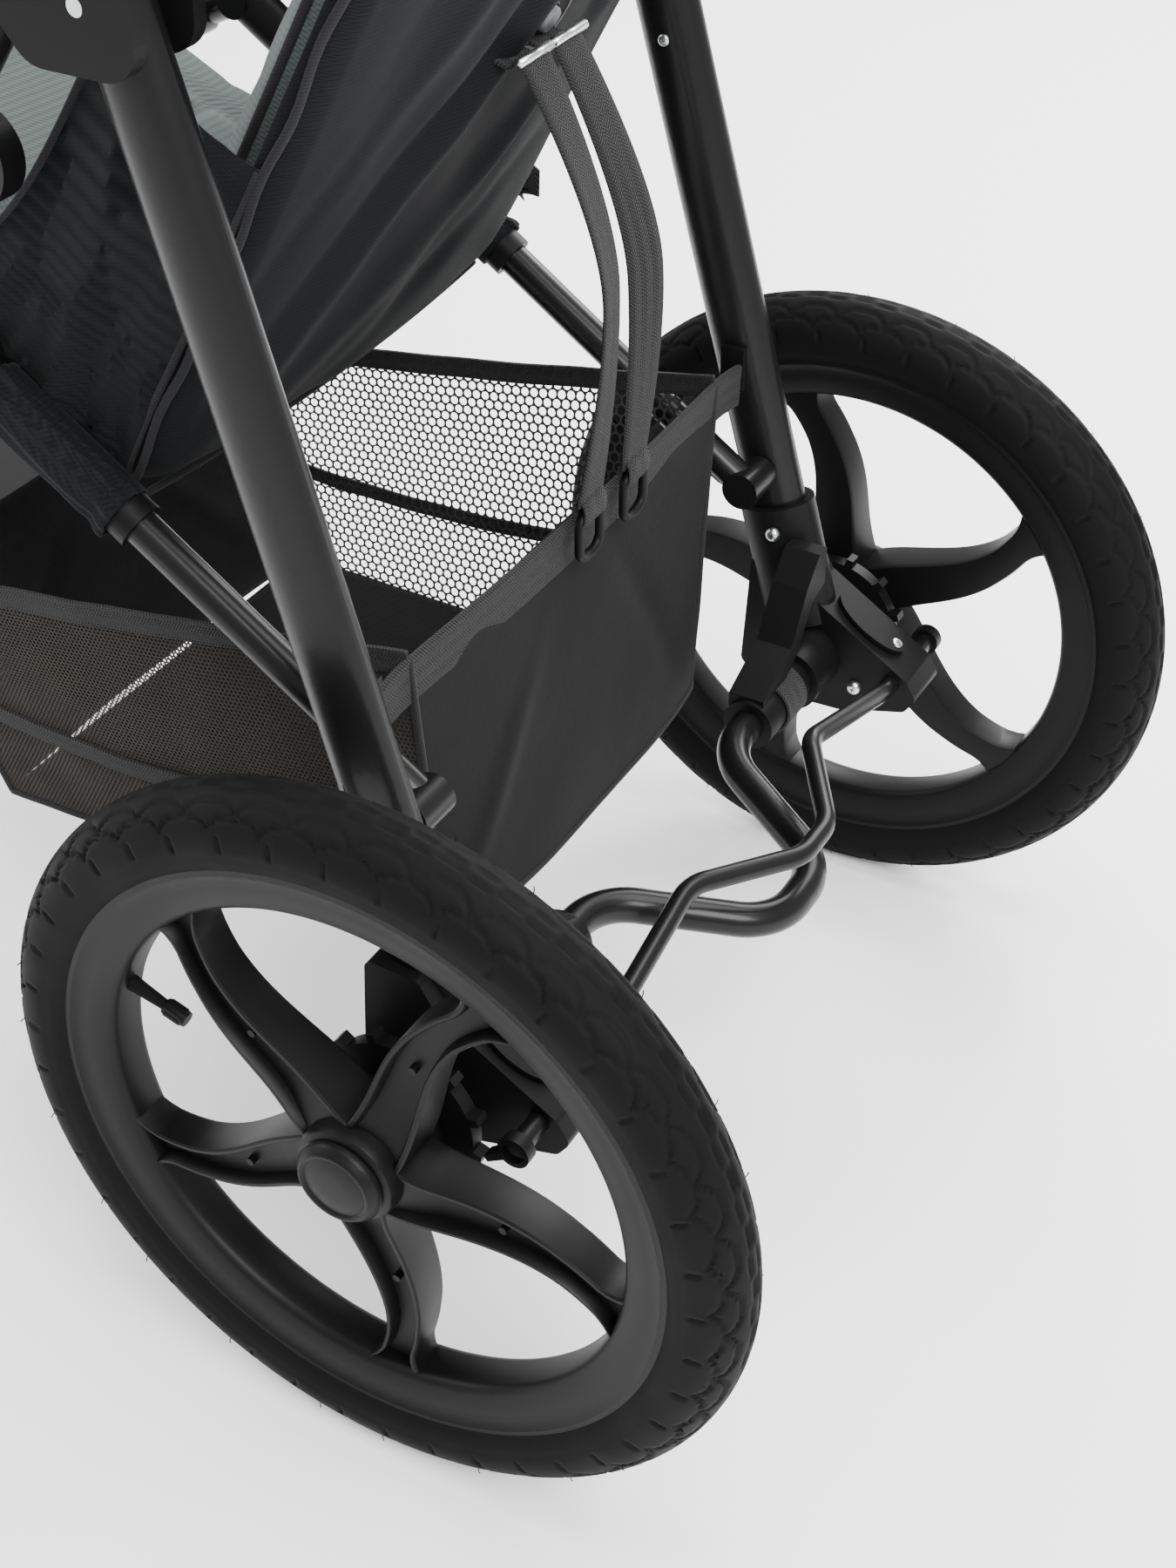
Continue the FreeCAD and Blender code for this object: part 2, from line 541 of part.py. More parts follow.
# ---------------------------------------------------------------- front frame
head = Vector(0, mm("swivel_back"), mm("head_up"))
turn_in = Vector(mm("leg_half_spread"), mm("turn_in_back"), mm("turn_in_up"))
INWARD = (head - turn_in).normalize()
tube_end = head - INWARD * 52
FRONT_TUBE_ROUTE = [
    ("leg_half_spread", "front_tube_top_back", "front_tube_top_up"),
    ("leg_half_spread", "knee_back", "knee_up"),
    ("leg_half_spread", "turn_in_back", "turn_in_up"), tuple(str(c) for c in tube_end)]
front_tube = bent_tube("front_tube", FRONT_TUBE_ROUTE, 85, "front_tube_radius", "tube_wall")
keep_both_sides("front_tube_SIDE", front_tube)

head_barrel = cylinder("head_barrel", "head_radius", "head_height", "0", "swivel_back",
                       "head_bottom_up", Z_AXIS)
socket_mouth = head - INWARD * 95
head_socket = cylinder("head_socket", "socket_radius", "80", str(socket_mouth.x),
                       str(socket_mouth.y), str(socket_mouth.z), axis=INWARD)
head_socket_bore = cylinder("head_socket_bore", "front_tube_radius + fit_gap", "44",
                            str(socket_mouth.x), str(socket_mouth.y), str(socket_mouth.z),
                            axis=INWARD)
stem_bore = cylinder("stem_bore", "stem_radius + running_gap", "head_height - 20", "0",
                     "swivel_back", "head_bottom_up - 1", Z_AXIS)
knob_bore = cylinder("knob_bore", "4 + running_gap", "40", "0", "swivel_back",
                     "head_bottom_up + head_height - 16", Z_AXIS)
keep("swivel_housing", cut(
    "swivel_housing",
    fuse("swivel_housing_solid", [head_barrel, head_socket,
                                  mirrored("head_socket_right", head_socket)]),
    group("swivel_housing_bores", [
        head_socket_bore, mirrored("head_socket_bore_right", head_socket_bore),
        stem_bore, knob_bore])))

knob = cylinder("knob", "13", "11", "0", "swivel_back",
                "head_bottom_up + head_height + body_gap", Z_AXIS)
knob_pin = cylinder("knob_pin", "4", "16", "0", "swivel_back",
                    "head_bottom_up + head_height - 12", Z_AXIS)
keep("swivel_knob", fuse("swivel_knob", [knob, knob_pin]))

crossbar = cylinder("seat_crossbar_rod", "crossbar_radius", "2 * leg_half_spread",
                    "-leg_half_spread", "crossbar_back", "crossbar_up")
saddle = bent_tube("crossbar_saddle", FRONT_TUBE_ROUTE, 85, "front_tube_radius + 0.05")
saddles = group("crossbar_saddles", [saddle, mirrored("crossbar_saddle_right", saddle)])
keep("seat_crossbar", cut("seat_crossbar", crossbar, saddles))

plate_outline = [
    ("hinge_back + knuckle_radius", "hinge_up - knuckle_radius"),
    ("handle_pivot_back + knuckle_radius", "handle_pivot_up + knuckle_radius"),
    ("handle_pivot_back - knuckle_radius + 3", "handle_pivot_up + knuckle_radius"),
    ("front_tube_top_back - 33", "front_tube_top_up + 4"),
    ("front_tube_top_back - 36", "front_tube_top_up - 30"),
    ("hinge_back - knuckle_radius", "hinge_up - knuckle_radius")]
gap_half = "(front_tube_radius + hinge_gap)"
outer_plate = side_plate("knuckle_outer", plate_outline, f"leg_half_spread + {gap_half}",
                         "plate_thickness", 16)
inner_plate = side_plate("knuckle_inner", plate_outline,
                         f"leg_half_spread - {gap_half} - plate_thickness",
                         "plate_thickness", 16)
BOLT_SEATS = {"hinge": ("4", "hinge_back", "hinge_up"),
              "handle": ("5", "handle_pivot_back", "handle_pivot_up")}
bolts, bolt_holes = [], []
for which, (radius, back, up) in BOLT_SEATS.items():
    reach = f"(leg_half_spread - {gap_half} - plate_thickness)"
    bolts.append(cylinder(f"{which}_bolt", radius, f"2 * ({gap_half} + plate_thickness) - 1",
                          f"{reach} + 0.5", back, up))
    bolt_holes.append(cylinder(f"{which}_hole", f"{radius} + fit_gap", "60",
                               f"{reach} - 5", back, up))
canopy_pin = cylinder("canopy_pin", "3", f"{reach} + 3 - canopy_half_width - fit_gap",
                      "canopy_half_width + fit_gap", "handle_pivot_back", "handle_pivot_up")
strut_pin = cylinder("strut_pin", "4",
                     "leg_half_spread - front_tube_radius - 0.3 - strut_half_spread + 2",
                     "strut_half_spread - 2", "strut_head_back", "strut_head_up")
handle_bolt = fuse("handle_bolt_stepped", [bolts[1], canopy_pin])
keep_as_pair("knuckle_outer_plates", cut("knuckle_outer_bored", outer_plate,
                                         group("outer_holes", bolt_holes)))
inner_holes = [cylinder(f"{which}_inner_hole", f"{radius} + fit_gap", "60",
                        f"{reach} - 5", back, up)
               for which, (radius, back, up) in BOLT_SEATS.items()]
keep_as_pair("knuckle_inner_plates", cut("knuckle_inner_bored", inner_plate,
                                         group("inner_holes", inner_holes)))
keep_as_pair("knuckle_bolts", group("knuckle_bolt_set", [bolts[0], handle_bolt, strut_pin]))

# ---------------------------------------------------------------- push handle
tip_back, tip_up = along("handle_pivot_back", "handle_pivot_up", "handle_lean",
                         "handle_reach")
root_back, root_up = along("handle_pivot_back", "handle_pivot_up", "handle_lean", "-16")
handle_loop = bent_tube("handle_loop", [
    ("leg_half_spread", root_back, root_up), ("leg_half_spread", tip_back, tip_up),
    ("-leg_half_spread", tip_back, tip_up), ("-leg_half_spread", root_back, root_up)],
    mm("handle_bend"), "handle_tube_radius", "tube_wall")
handle_bore = cylinder("handle_bore", "5 + running_gap", "2 * leg_half_spread + 60",
                       "-30 - leg_half_spread", "handle_pivot_back", "handle_pivot_up")
keep("handle_tube", cut("handle_tube", handle_loop, handle_bore))


def ring(name, outer, inner, length, x, y, z, axis=X_AXIS):
    """A straight sleeve with a bore right through."""
    solid = cylinder(name + "_solid", outer, length, x, y, z, axis)
    bore = cylinder(name + "_bore", inner, length, x, y, z, axis)
    return cut(name, solid, bore)


keep("handle_grip", ring("handle_grip", "grip_radius", "handle_tube_radius + 0.1",
                         "2 * grip_half_length", "-grip_half_length", tip_back, tip_up))
lean = math.radians(mm("handle_lean"))
HANDLE_AXIS = Vector(0, math.cos(lean), math.sin(lean))
keep_both_sides("lock_sleeve_SIDE", ring(
    "lock_sleeve", "lock_sleeve_radius", "handle_tube_radius + running_gap",
    "lock_sleeve_length", "leg_half_spread",
    *along("handle_pivot_back", "handle_pivot_up", "handle_lean", "lock_sleeve_start"),
    axis=HANDLE_AXIS))

# ---------------------------------------------------------------- canopy


def canopy_bow(name, order, lean_name):
    """A sprung rod bent to a U, with an eye at each end on the canopy pins."""
    half = f"(canopy_half_width + 2.7 + {order} * bow_spacing)"
    pivot = ("handle_pivot_back", "handle_pivot_up", lean_name)
    near_y, near_z = along(*pivot, "6")
    far_y, far_z = along(*pivot, "canopy_reach")
    rod = bent_tube(name + "_rod", [
        (half, near_y, near_z), (half, far_y, far_z), ("-" + half, far_y, far_z),
        ("-" + half, near_y, near_z)], 90, "bow_radius")
    eye = ring(name + "_eye", "9", "3 + running_gap", "2 * bow_radius", f"{half} - bow_radius",
               "handle_pivot_back", "handle_pivot_up")
    return fuse(name, [rod, eye, mirrored(name + "_eye_right", eye)])


keep("canopy_rear_bow", canopy_bow("rear_bow", 0, "rear_bow_lean"))
keep("canopy_middle_bow", canopy_bow("middle_bow", 1, "middle_bow_lean"))
keep("canopy_front_bow", canopy_bow("front_bow", 2, "front_bow_lean"))

shell = doc.addObject("PartDesign::Body", "canopy_shell")
shell.Placement = Placement(Vector(), SIDEWAYS * Rotation(Z_AXIS, mm("rear_bow_lean")))
place(shell, "0", "handle_pivot_back", "handle_pivot_up")
CORNER_STEPS = (0, 11.25, 22.5, 33.75, 45, 56.25, 67.5, 78.75, 90)
bend_centre = "(canopy_half_width + 2.7 + 2 * bow_spacing - 90)"
near_side, loop = [], []
for skin, steps in (("94.9", CORNER_STEPS), ("94.9 - canopy_skin", CORNER_STEPS[::-1])):
    run = [("105", f"{bend_centre} + {skin}")] if skin == "94.9" else []
    run += [(f"canopy_reach - 90 + ({skin}) * sin({a})", f"{bend_centre} + ({skin}) * cos({a})")
            for a in steps]
    near_side.append(run)
near_side[1].append(("105", f"{bend_centre} + 94.9 - canopy_skin"))
outer_run, inner_run = near_side
far = [(r, f"-({x})") for r, x in reversed(outer_run)]
far_inner = [(r, f"-({x})") for r, x in reversed(inner_run)]
canopy_outline = outline(shell, "canopy_outline", "XZ_Plane",
                         outer_run + far + far_inner + inner_run)
canopy_turn = shell.newObject("PartDesign::Revolution", "canopy_turn")
canopy_turn.Profile = canopy_outline
canopy_turn.ReferenceAxis = (canopy_outline, ["V_Axis"])
bind(canopy_turn, "Angle", "front_bow_lean - rear_bow_lean + 2")
keep("canopy_fabric", shell)

# ---------------------------------------------------------------- seat
seat = side_plate("seat_base", [
    ("crossbar_back - 38", "crossbar_up + 25.6"), ("recline_back - 40", "recline_up + 11.7"),
    ("recline_back - 28", "recline_up + 39.2"), ("crossbar_back - 26", "crossbar_up + 53")],
    "-seat_half_width", "2 * seat_half_width", 9)
keep("seat_base_cover", seat)

wing = side_plate("seat_wing", [
    ("-207", "446"), ("-104", "610"), ("-130", "650"), ("-180", "655"), ("-232", "572"),
    ("-330", "520"), ("-262", "478")], "wing_inner", "wing_thickness", 6)
cuff_y, cuff_z = strut_point("cuff_start")
cuff = ring("seat_cuff", "strut_sleeve_radius + 3.4", "strut_sleeve_radius + 0.9",
            "cuff_length", "strut_half_spread", cuff_y, cuff_z, axis=STRUT_AXIS)
keep_both_sides("seat_wing_SIDE", fuse("seat_wing_with_cuff", [wing, cuff]))


def on_back(distance, across="0"):
    return along("recline_back", "recline_up", "back_lean", distance, across)


BACK_LEAN = mm("back_lean")
keep("backrest_board", box(
    "backrest_board", ("2 * back_half_width - 6", "back_length - 14", "board_thickness"),
    "3 - back_half_width", *on_back("4", "4"), turn=BACK_LEAN))
keep("backrest_cover", box(
    "backrest_cover", ("2 * back_half_width", "back_length", "back_thickness - 3.4"),
    "-back_half_width", *on_back("0", "3.6 - board_thickness"), turn=BACK_LEAN))

SHOULDER_STRAPS = (("-62", "26"), ("36", "26"))
straps = [box(f"harness_strap_{i}", (width, "250", "2"), x, *on_back("132", "-38.4"),
              turn=BACK_LEAN) for i, (x, width) in enumerate(SHOULDER_STRAPS)]
straps.append(box("crotch_strap", ("30", "64", "2"), "-15", *on_back("34", "-38.4"),
                  turn=BACK_LEAN))
keep("harness_straps", group("harness_straps", straps))
buckle_body = box("harness_buckle_body", ("130", "30", "14"), "-65", *on_back("100", "-38.4"),
                  turn=BACK_LEAN)
button_pocket = box("button_pocket", ("17", "17", "20"), "-8.5", *on_back("106.5", "-44"),
                    turn=BACK_LEAN)
keep("harness_buckle", cut("harness_buckle", buckle_body, button_pocket))
keep("buckle_button", box("buckle_button", ("16", "16", "8"), "-8",
                          *on_back("107", "-46.6"), turn=BACK_LEAN))

# ---------------------------------------------------------------- recline buckle, straps
back_angle = math.radians(BACK_LEAN)
OUTWARD = Vector(0, math.sin(back_angle), -math.cos(back_angle))
lock_seat = on_back("223", "4.4")
lock = cylinder("recline_lock", "24", "14", "-25", *lock_seat, axis=OUTWARD)
lock_bore = cylinder("recline_lock_bore", "7.4", "20", "-25", *on_back("223", "10"),
                     axis=OUTWARD)
keep("recline_buckle", cut("recline_buckle", lock, lock_bore))
keep("recline_button", cylinder("recline_button", "7", "8.5", "-25",
                                *on_back("223", "12.5"), axis=OUTWARD))


def ribbon(name, centre_x, width, thickness, corners):
    """A flat strap that hangs in straight runs joined by easy bends."""
    corners = [Vector(0, back, up) for back, up in corners]
    run = min(corner.distanceToPoint(after) for corner, after in zip(corners, corners[1:]))
    sharpest = min(math.pi - (before - corner).getAngle(after - corner)
                   for before, corner, after in zip(corners, corners[1:], corners[2:]))
    path = rounded_path(corners, 0.3 * run / math.tan(max(sharpest, 0.3) / 2))
    rear, front = [], []
    for edge in path.Edges:
        steps = 8 if edge.Curve.TypeId == "Part::GeomCircle" else 1
        for i in range(steps + 1):
            spot = edge.FirstParameter + (edge.LastParameter - edge.FirstParameter) * i / steps
            point, heading = edge.valueAt(spot), edge.tangentAt(spot)
            side = Vector(0, -heading.z, heading.y) * (thickness / 2)
            if not rear or (point + side).distanceToPoint(rear[-1]) > 0.01:
                rear.append(point + side)
                front.append(point - side)
    loop = rear + front[::-1] + rear[:1]
    thing = doc.addObject("Part::Feature", name)
    thing.Shape = Part.Face(Part.makePolygon(loop)).extrude(Vector(width, 0, 0))
    bind(thing, "Placement.Base.x", f"{centre_x} - {width} / 2")
    bind(thing, "Placement.Base.y", "rear_axle_y")
    return thing


STRAP_FALL = [(-63.0, 617.0), (-24.0, 549.0), (-20.0, 475.0), (-30.0, 404.0)]
keep("recline_strap_left", ribbon("recline_strap_near", "2", 25, 1.6, STRAP_FALL))
keep("recline_strap_right", ribbon("recline_strap_far", "-27", 25, 1.6, STRAP_FALL))
rings = []
for side, x in (("near", "10"), ("far", "-35")):
    loop_ring = doc.addObject("Part::Torus", f"strap_ring_{side}")
    loop_ring.Placement = Placement(Vector(), Rotation(X_AXIS, 90))
    bind(loop_ring, "Radius1", "14")
    bind(loop_ring, "Radius2", "2.6")
    place(loop_ring, x, "-30", "386")
    rings.append(loop_ring)
keep("strap_rings", group("strap_rings", rings))

# ---------------------------------------------------------------- basket
def hopper(name, inset):
    """A block that flares from the basket floor to its rim."""
    block = doc.addObject("Part::Wedge", name)
    block.Placement = Placement(Vector(), Rotation(X_AXIS, 90))
    floor_half = f"basket_half_top - basket_taper - {inset}"
    limits = {
        "Xmin": f"-({floor_half})", "Xmax": floor_half,
        "X2min": f"{inset} - basket_half_top", "X2max": f"basket_half_top - {inset}",
        "Ymin": inset, "Ymax": "basket_top_up - basket_floor_up + 10",
        "Zmin": inset, "Zmax": f"300 - {inset}", "Z2min": f"12 + {inset}",
        "Z2max": f"basket_back - basket_front + 12 - {inset}"}
    for prop, formula in limits.items():
        bind(block, prop, formula)
    place(block, "0", "basket_back + 12", "basket_floor_up")
    return block


RIM_SLOPE = math.degrees(math.atan2(mm("basket_top_up - basket_front_up"),
                                    mm("basket_back - basket_front")))
above_rim = box("above_rim", ("420", "480", "120"), "-210", "basket_front - 40",
                f"basket_front_up - 40 * tan({RIM_SLOPE})", turn=RIM_SLOPE)
hollow = cut("basket_shell", hopper("basket_outside", "0"), hopper("basket_inside",
                                                                   "basket_wall"))
trimmed = cut("basket_trimmed", hollow, above_rim)
tabs, hangers = [], []
for side, start in (("near", "basket_half_top + 0.5"), ("far", "-26.5 - basket_half_top")):
    tabs.append(box(f"basket_tab_{side}", ("26", "4", "24"), start, "basket_back - 4.4",
                    "basket_top_up - 27"))
for side, start in (("near", "108"), ("far", "-130")):
    hangers.append(box(f"basket_hanger_{side}", ("22", "2", "170"), start,
                       "basket_front + 0.4", "basket_front_up - 12", turn=9.6))
keep("basket", fuse("basket", [trimmed] + hangers))
keep("basket_tabs", group("basket_tabs", tabs))

# ---------------------------------------------------------------- bumper bar, footrest
reach_y, reach_z = along("bumper_back", "bumper_up", "165", "bumper_reach")
start_y, start_z = along("bumper_back", "bumper_up", "165", "10")
bumper_loop = bent_tube("bumper_loop", [
    ("bumper_half", start_y, start_z), ("bumper_half", reach_y, reach_z),
    ("-bumper_half", reach_y, reach_z), ("-bumper_half", start_y, start_z)],
    60, "bumper_radius")
bumper_eye = cylinder("bumper_eye", "22", "14.6", "leg_half_spread - front_tube_radius - 15",
                      "bumper_back", "bumper_up")
keep("bumper_bar", fuse("bumper_bar", [
    bumper_loop, bumper_eye, mirrored("bumper_eye_right", bumper_eye)]))
keep("bumper_foam", ring("bumper_foam", "foam_radius", "bumper_radius + 0.1", "200", "-100",
                         reach_y, reach_z))

clamp_at = turn_in + INWARD * 92
hanger_end = clamp_at - Vector(0, 0, 14)
frame = bent_tube("footrest_frame", [
    (str(hanger_end.x), str(hanger_end.y), str(hanger_end.z)),
    ("footrest_half", "footrest_back", "footrest_up"),
    ("-footrest_half", "footrest_back", "footrest_up"),
    (str(-hanger_end.x), str(hanger_end.y), str(hanger_end.z))], 24, "footrest_radius")
board = box("footrest_board", ("2 * footrest_half - 64", "footrest_depth", "9"),
            "32 - footrest_half", "footrest_back - 4", "footrest_up - 2.4")
clamp_start = clamp_at - INWARD * 12
clamp = cylinder("footrest_clamp", "front_tube_radius + 3", "24", str(clamp_start.x),
                 str(clamp_start.y), str(clamp_start.z), axis=INWARD)
clamp_bore_start = clamp_at - INWARD * 30
clamp_bore = cylinder("footrest_clamp_bore", "front_tube_radius + 0.1", "60",
                      str(clamp_bore_start.x), str(clamp_bore_start.y),
                      str(clamp_bore_start.z), axis=INWARD)
keep("footrest", cut(
    "footrest", fuse("footrest_solid", [frame, board, clamp,
                                        mirrored("footrest_clamp_right", clamp)]),
    group("footrest_bores", [clamp_bore, mirrored("footrest_bore_right", clamp_bore)])))

# ---------------------------------------------------------------- front wheel
keep("front_tyre", tyre("front_tyre", "front_tyre_radius", "front_tyre_section",
                        "front_rim_radius", "front_rim_half_width", "0",
                        "front_axle_back"))
keep("front_rim", rim("front_rim", "front_rim_radius", "front_rim_inner",
                      "front_rim_half_width", "front_hub_radius", "front_hub_half",
                      "wheel_pin_radius", 5, "0", "front_axle_back", "front_tyre_radius"))

stem = cylinder("fork_stem", "stem_radius", "head_height - 14", "0", "swivel_back",
                "head_bottom_up - 8", Z_AXIS)
crown = box("fork_crown", ("2 * (28 + fork_blade)", "50", "23"), "-28 - fork_blade",
            "swivel_back - 22", "head_bottom_up - 23 - body_gap")
blade = side_plate("fork_blade_plate", [
    ("swivel_back - 20", "head_bottom_up - 4"), ("swivel_back + 26", "head_bottom_up - 4"),
    ("front_axle_back + 16", "front_tyre_radius + 6"),
    ("front_axle_back + 13", "front_tyre_radius - 15"),
    ("front_axle_back - 13", "front_tyre_radius - 15"),
    ("front_axle_back - 16", "front_tyre_radius + 6")], "28", "fork_blade", 6)
fork_bore = cylinder("fork_bore", "wheel_pin_radius + fit_gap", "100", "-50",
                     "front_axle_back", "front_tyre_radius")
keep("front_fork", cut("front_fork", fuse("front_fork_solid", [
    stem, crown, blade, mirrored("fork_blade_right", blade)]), fork_bore))
axle_head = cylinder("axle_head", "10", "4", "28 + fork_blade + fit_gap", "front_axle_back",
                     "front_tyre_radius")
keep("front_axle", fuse("front_axle", [
    cylinder("axle_shaft", "wheel_pin_radius", "2 * (30 + fork_blade)", "-30 - fork_blade",
             "front_axle_back", "front_tyre_radius"),
    axle_head, mirrored("axle_head_right", axle_head)]))

# ---------------------------------------------------------------- check and write out
doc.recompute()
for thing in doc.Objects:
    if {"Invalid", "Error"} & set(thing.State):
        raise RuntimeError(f"{thing.Name} did not rebuild: {thing.getStatusString()}")
    shape = getattr(thing, "Shape", None)
    if thing in nodes and (shape is None or shape.isNull() or not shape.isValid()):
        raise RuntimeError(f"{thing.Label} has no sound shape")
os.makedirs("parts", exist_ok=True)
for node in nodes:
    node.Shape.exportStep(os.path.join("parts", node.Label + ".step"))
print(len(nodes), "nodes written")
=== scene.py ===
"""Baby stroller: the looks of its wheels, frame, seat, canopy, straps and basket."""

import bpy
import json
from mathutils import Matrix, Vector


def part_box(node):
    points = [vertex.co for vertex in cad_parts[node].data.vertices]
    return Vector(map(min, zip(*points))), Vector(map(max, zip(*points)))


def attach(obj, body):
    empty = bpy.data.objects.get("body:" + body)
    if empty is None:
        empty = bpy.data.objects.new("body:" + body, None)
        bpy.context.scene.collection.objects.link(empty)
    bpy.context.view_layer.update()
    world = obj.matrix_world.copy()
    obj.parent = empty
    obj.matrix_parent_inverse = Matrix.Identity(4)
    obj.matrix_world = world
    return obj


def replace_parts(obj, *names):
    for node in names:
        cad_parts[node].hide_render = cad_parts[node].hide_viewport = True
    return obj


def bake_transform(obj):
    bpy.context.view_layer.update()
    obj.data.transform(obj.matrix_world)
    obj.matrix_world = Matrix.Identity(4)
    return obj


bl_info = {
    "name": "Baby stroller",
    "version": (1, 0, 0),
    "blender": (4, 5, 0),
    "location": "View3D > Sidebar > Stroller",
    "description": "Builds the visible pieces of a three-wheeled baby stroller around its frame",
    "category": "Object",
}

import json
import math

import bmesh
import bpy
import numpy as np
from mathutils import Matrix, Vector, noise

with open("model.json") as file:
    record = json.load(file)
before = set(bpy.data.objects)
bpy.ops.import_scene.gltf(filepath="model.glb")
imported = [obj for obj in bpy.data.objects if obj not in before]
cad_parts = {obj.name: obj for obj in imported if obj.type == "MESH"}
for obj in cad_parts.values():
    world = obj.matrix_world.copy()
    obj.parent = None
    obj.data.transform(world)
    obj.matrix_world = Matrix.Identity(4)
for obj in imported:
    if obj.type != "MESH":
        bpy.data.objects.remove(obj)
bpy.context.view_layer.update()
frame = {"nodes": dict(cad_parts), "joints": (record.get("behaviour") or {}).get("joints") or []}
JOINTS = {joint["name"]: joint for joint in frame["joints"]}


def middle(node):
    low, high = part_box(node)
    return (low + high) / 2


AXLE = middle("rear_left_tyre")  # the rear wheels turn about this height and place


def at(x, back, up):
    """A place in millimetres, measured back from the rear axle and up from the floor."""
    return Vector((x / 1000, AXLE.y + back / 1000, up / 1000))


RECLINE = Vector(JOINTS["recline"]["pos_m"])
BACK_LEAN = math.radians(61)
UP_BACK = Vector((0, math.cos(BACK_LEAN), math.sin(BACK_LEAN)))
BEHIND = Vector((0, math.sin(BACK_LEAN), -math.cos(BACK_LEAN)))
PIVOT = Vector(JOINTS["handle_fold"]["pos_m"])
STRUT_HEAD = Vector(JOINTS["strut_swing"]["pos_m"])
STRUT_FOOT = at(0, -29, 322)


def on_back(x, distance, across=0.0):
    """A place on the backrest, in millimetres: along its slope, and off to its rear side."""
    place = RECLINE + UP_BACK * (distance / 1000) + BEHIND * (across / 1000)
    return Vector((x / 1000, place.y, place.z))


def around(pivot, x, reach, degrees):
    """A place at a reach from a crosswise pivot, at an angle up from the rear."""
    angle = math.radians(degrees)
    return Vector((x / 1000, pivot.y + reach / 1000 * math.cos(angle),
                   pivot.z + reach / 1000 * math.sin(angle)))


# ------------------------------------------------------------------ node helpers
class Shader:
    """A material with one Principled shader and short calls for its texture nodes."""

    def __init__(self, name, colour, roughness, metallic=0.0, sheen=0.0, coat=0.0,
                 specular=0.12):
        self.material = bpy.data.materials.new(name)
        self.material.use_nodes = True
        self.tree = self.material.node_tree
        self.bsdf = self.tree.nodes["Principled BSDF"]
        self.set("Base Color", (*colour, 1))
        self.set("Roughness", roughness)
        self.set("Metallic", metallic)
        self.set("Sheen Weight", sheen)
        self.set("Sheen Roughness", 0.45)
        self.set("Coat Weight", coat)
        self.set("Coat Roughness", 0.2)
        self.set("Specular IOR Level", specular)
        self.height = None
        coordinates = self.tree.nodes.new("ShaderNodeTexCoord")
        self.place = coordinates.outputs["Object"]
        self.uv = coordinates.outputs["UV"]

    def set(self, socket, value):
        self.bsdf.inputs[socket].default_value = value

    def node(self, kind, links=None, **settings):
        made = self.tree.nodes.new(kind)
        for key, value in settings.items():
            if key in made.inputs:
                made.inputs[key].default_value = value
            else:
                setattr(made, key, value)
        for key, source in (links or {}).items():
            self.tree.links.new(source, made.inputs[key])
        return made

    def math(self, operation, first, second=0.0):
        made = self.node("ShaderNodeMath", operation=operation)
        for slot, value in enumerate((first, second)):
            if isinstance(value, (int, float)):
                made.inputs[slot].default_value = value
            else:
                self.tree.links.new(value, made.inputs[slot])
        return made.outputs[0]

    def noise(self, scale, detail=3.0, stretch=None, source=None):
        source = source or self.place
        if stretch:
            source = self.node("ShaderNodeMapping", {"Vector": source},
                               Scale=stretch).outputs[0]
        return self.node("ShaderNodeTexNoise", {"Vector": source}, Scale=scale,
                         Detail=detail).outputs["Fac"]

    def wave(self, spacing, direction="DIAGONAL", source=None, distortion=0.0):
        """Even ridges, spacing apart in metres."""
        made = self.node("ShaderNodeTexWave", {"Vector": source or self.place},
                         Scale=math.tau / (20 * spacing), Distortion=distortion)
        made.bands_direction = direction
        return made.outputs["Fac"]

    def bump(self, height, depth, strength=1.0):
        """Adds relief, depth in metres, on top of any relief already there."""
        made = self.node("ShaderNodeBump", {"Height": height}, Distance=depth,
                         Strength=strength)
        if self.height:
            self.tree.links.new(self.height, made.inputs["Normal"])
        self.height = made.outputs["Normal"]
        self.tree.links.new(self.height, self.bsdf.inputs["Normal"])

    def vary(self, socket, factor, low, high):
        """Runs a socket from low to high with a factor."""
        if isinstance(low, tuple):
            made = self.node("ShaderNodeMix", data_type="RGBA")
            made.inputs[6].default_value = (*low, 1)
            made.inputs[7].default_value = (*high, 1)
            self.tree.links.new(factor, made.inputs[0])
            result = made.outputs[2]
        else:
            result = self.node("ShaderNodeMapRange", {"Value": factor},
                               **{"To Min": low, "To Max": high}).outputs[0]
        self.tree.links.new(result, self.bsdf.inputs[socket])
        return result


def powder_coat():
    made = Shader("satin_black_tube", (0.004, 0.004, 0.0044), 0.31, coat=0.15)
    made.vary("Roughness", made.noise(9, 4), 0.29, 0.4)
    made.bump(made.noise(1400, 2), 0.00004, 0.5)
    return made.material


def moulded(name="black_moulding", tone=0.003, rough=0.46):
    made = Shader(name, (tone, tone, tone * 1.06), rough)
    made.vary("Roughness", made.noise(14, 4), rough - 0.07, rough + 0.1)
    made.bump(made.noise(2200, 2), 0.00006, 0.6)
    return made.material


def zinc():
    made = Shader("bright_zinc", (0.62, 0.63, 0.64), 0.26, metallic=1.0)
    made.vary("Roughness", made.noise(300, 3), 0.2, 0.4)
    return made.material


def rubber():
    made = Shader("tyre_rubber", (0.004, 0.004, 0.0043), 0.66, specular=0.05)
    made.vary("Roughness", made.noise(40, 4), 0.5, 0.74)
    made.bump(made.noise(900, 3), 0.00015, 0.55)
    return made.material


def foam():
    made = Shader("grip_foam", (0.018, 0.018, 0.019), 0.85, sheen=0.15)
    cells = made.node("ShaderNodeTexVoronoi", {"Vector": made.place}, Scale=1100.0)
    made.bump(cells.outputs["Distance"], 0.0003, 0.8)
    return made.material


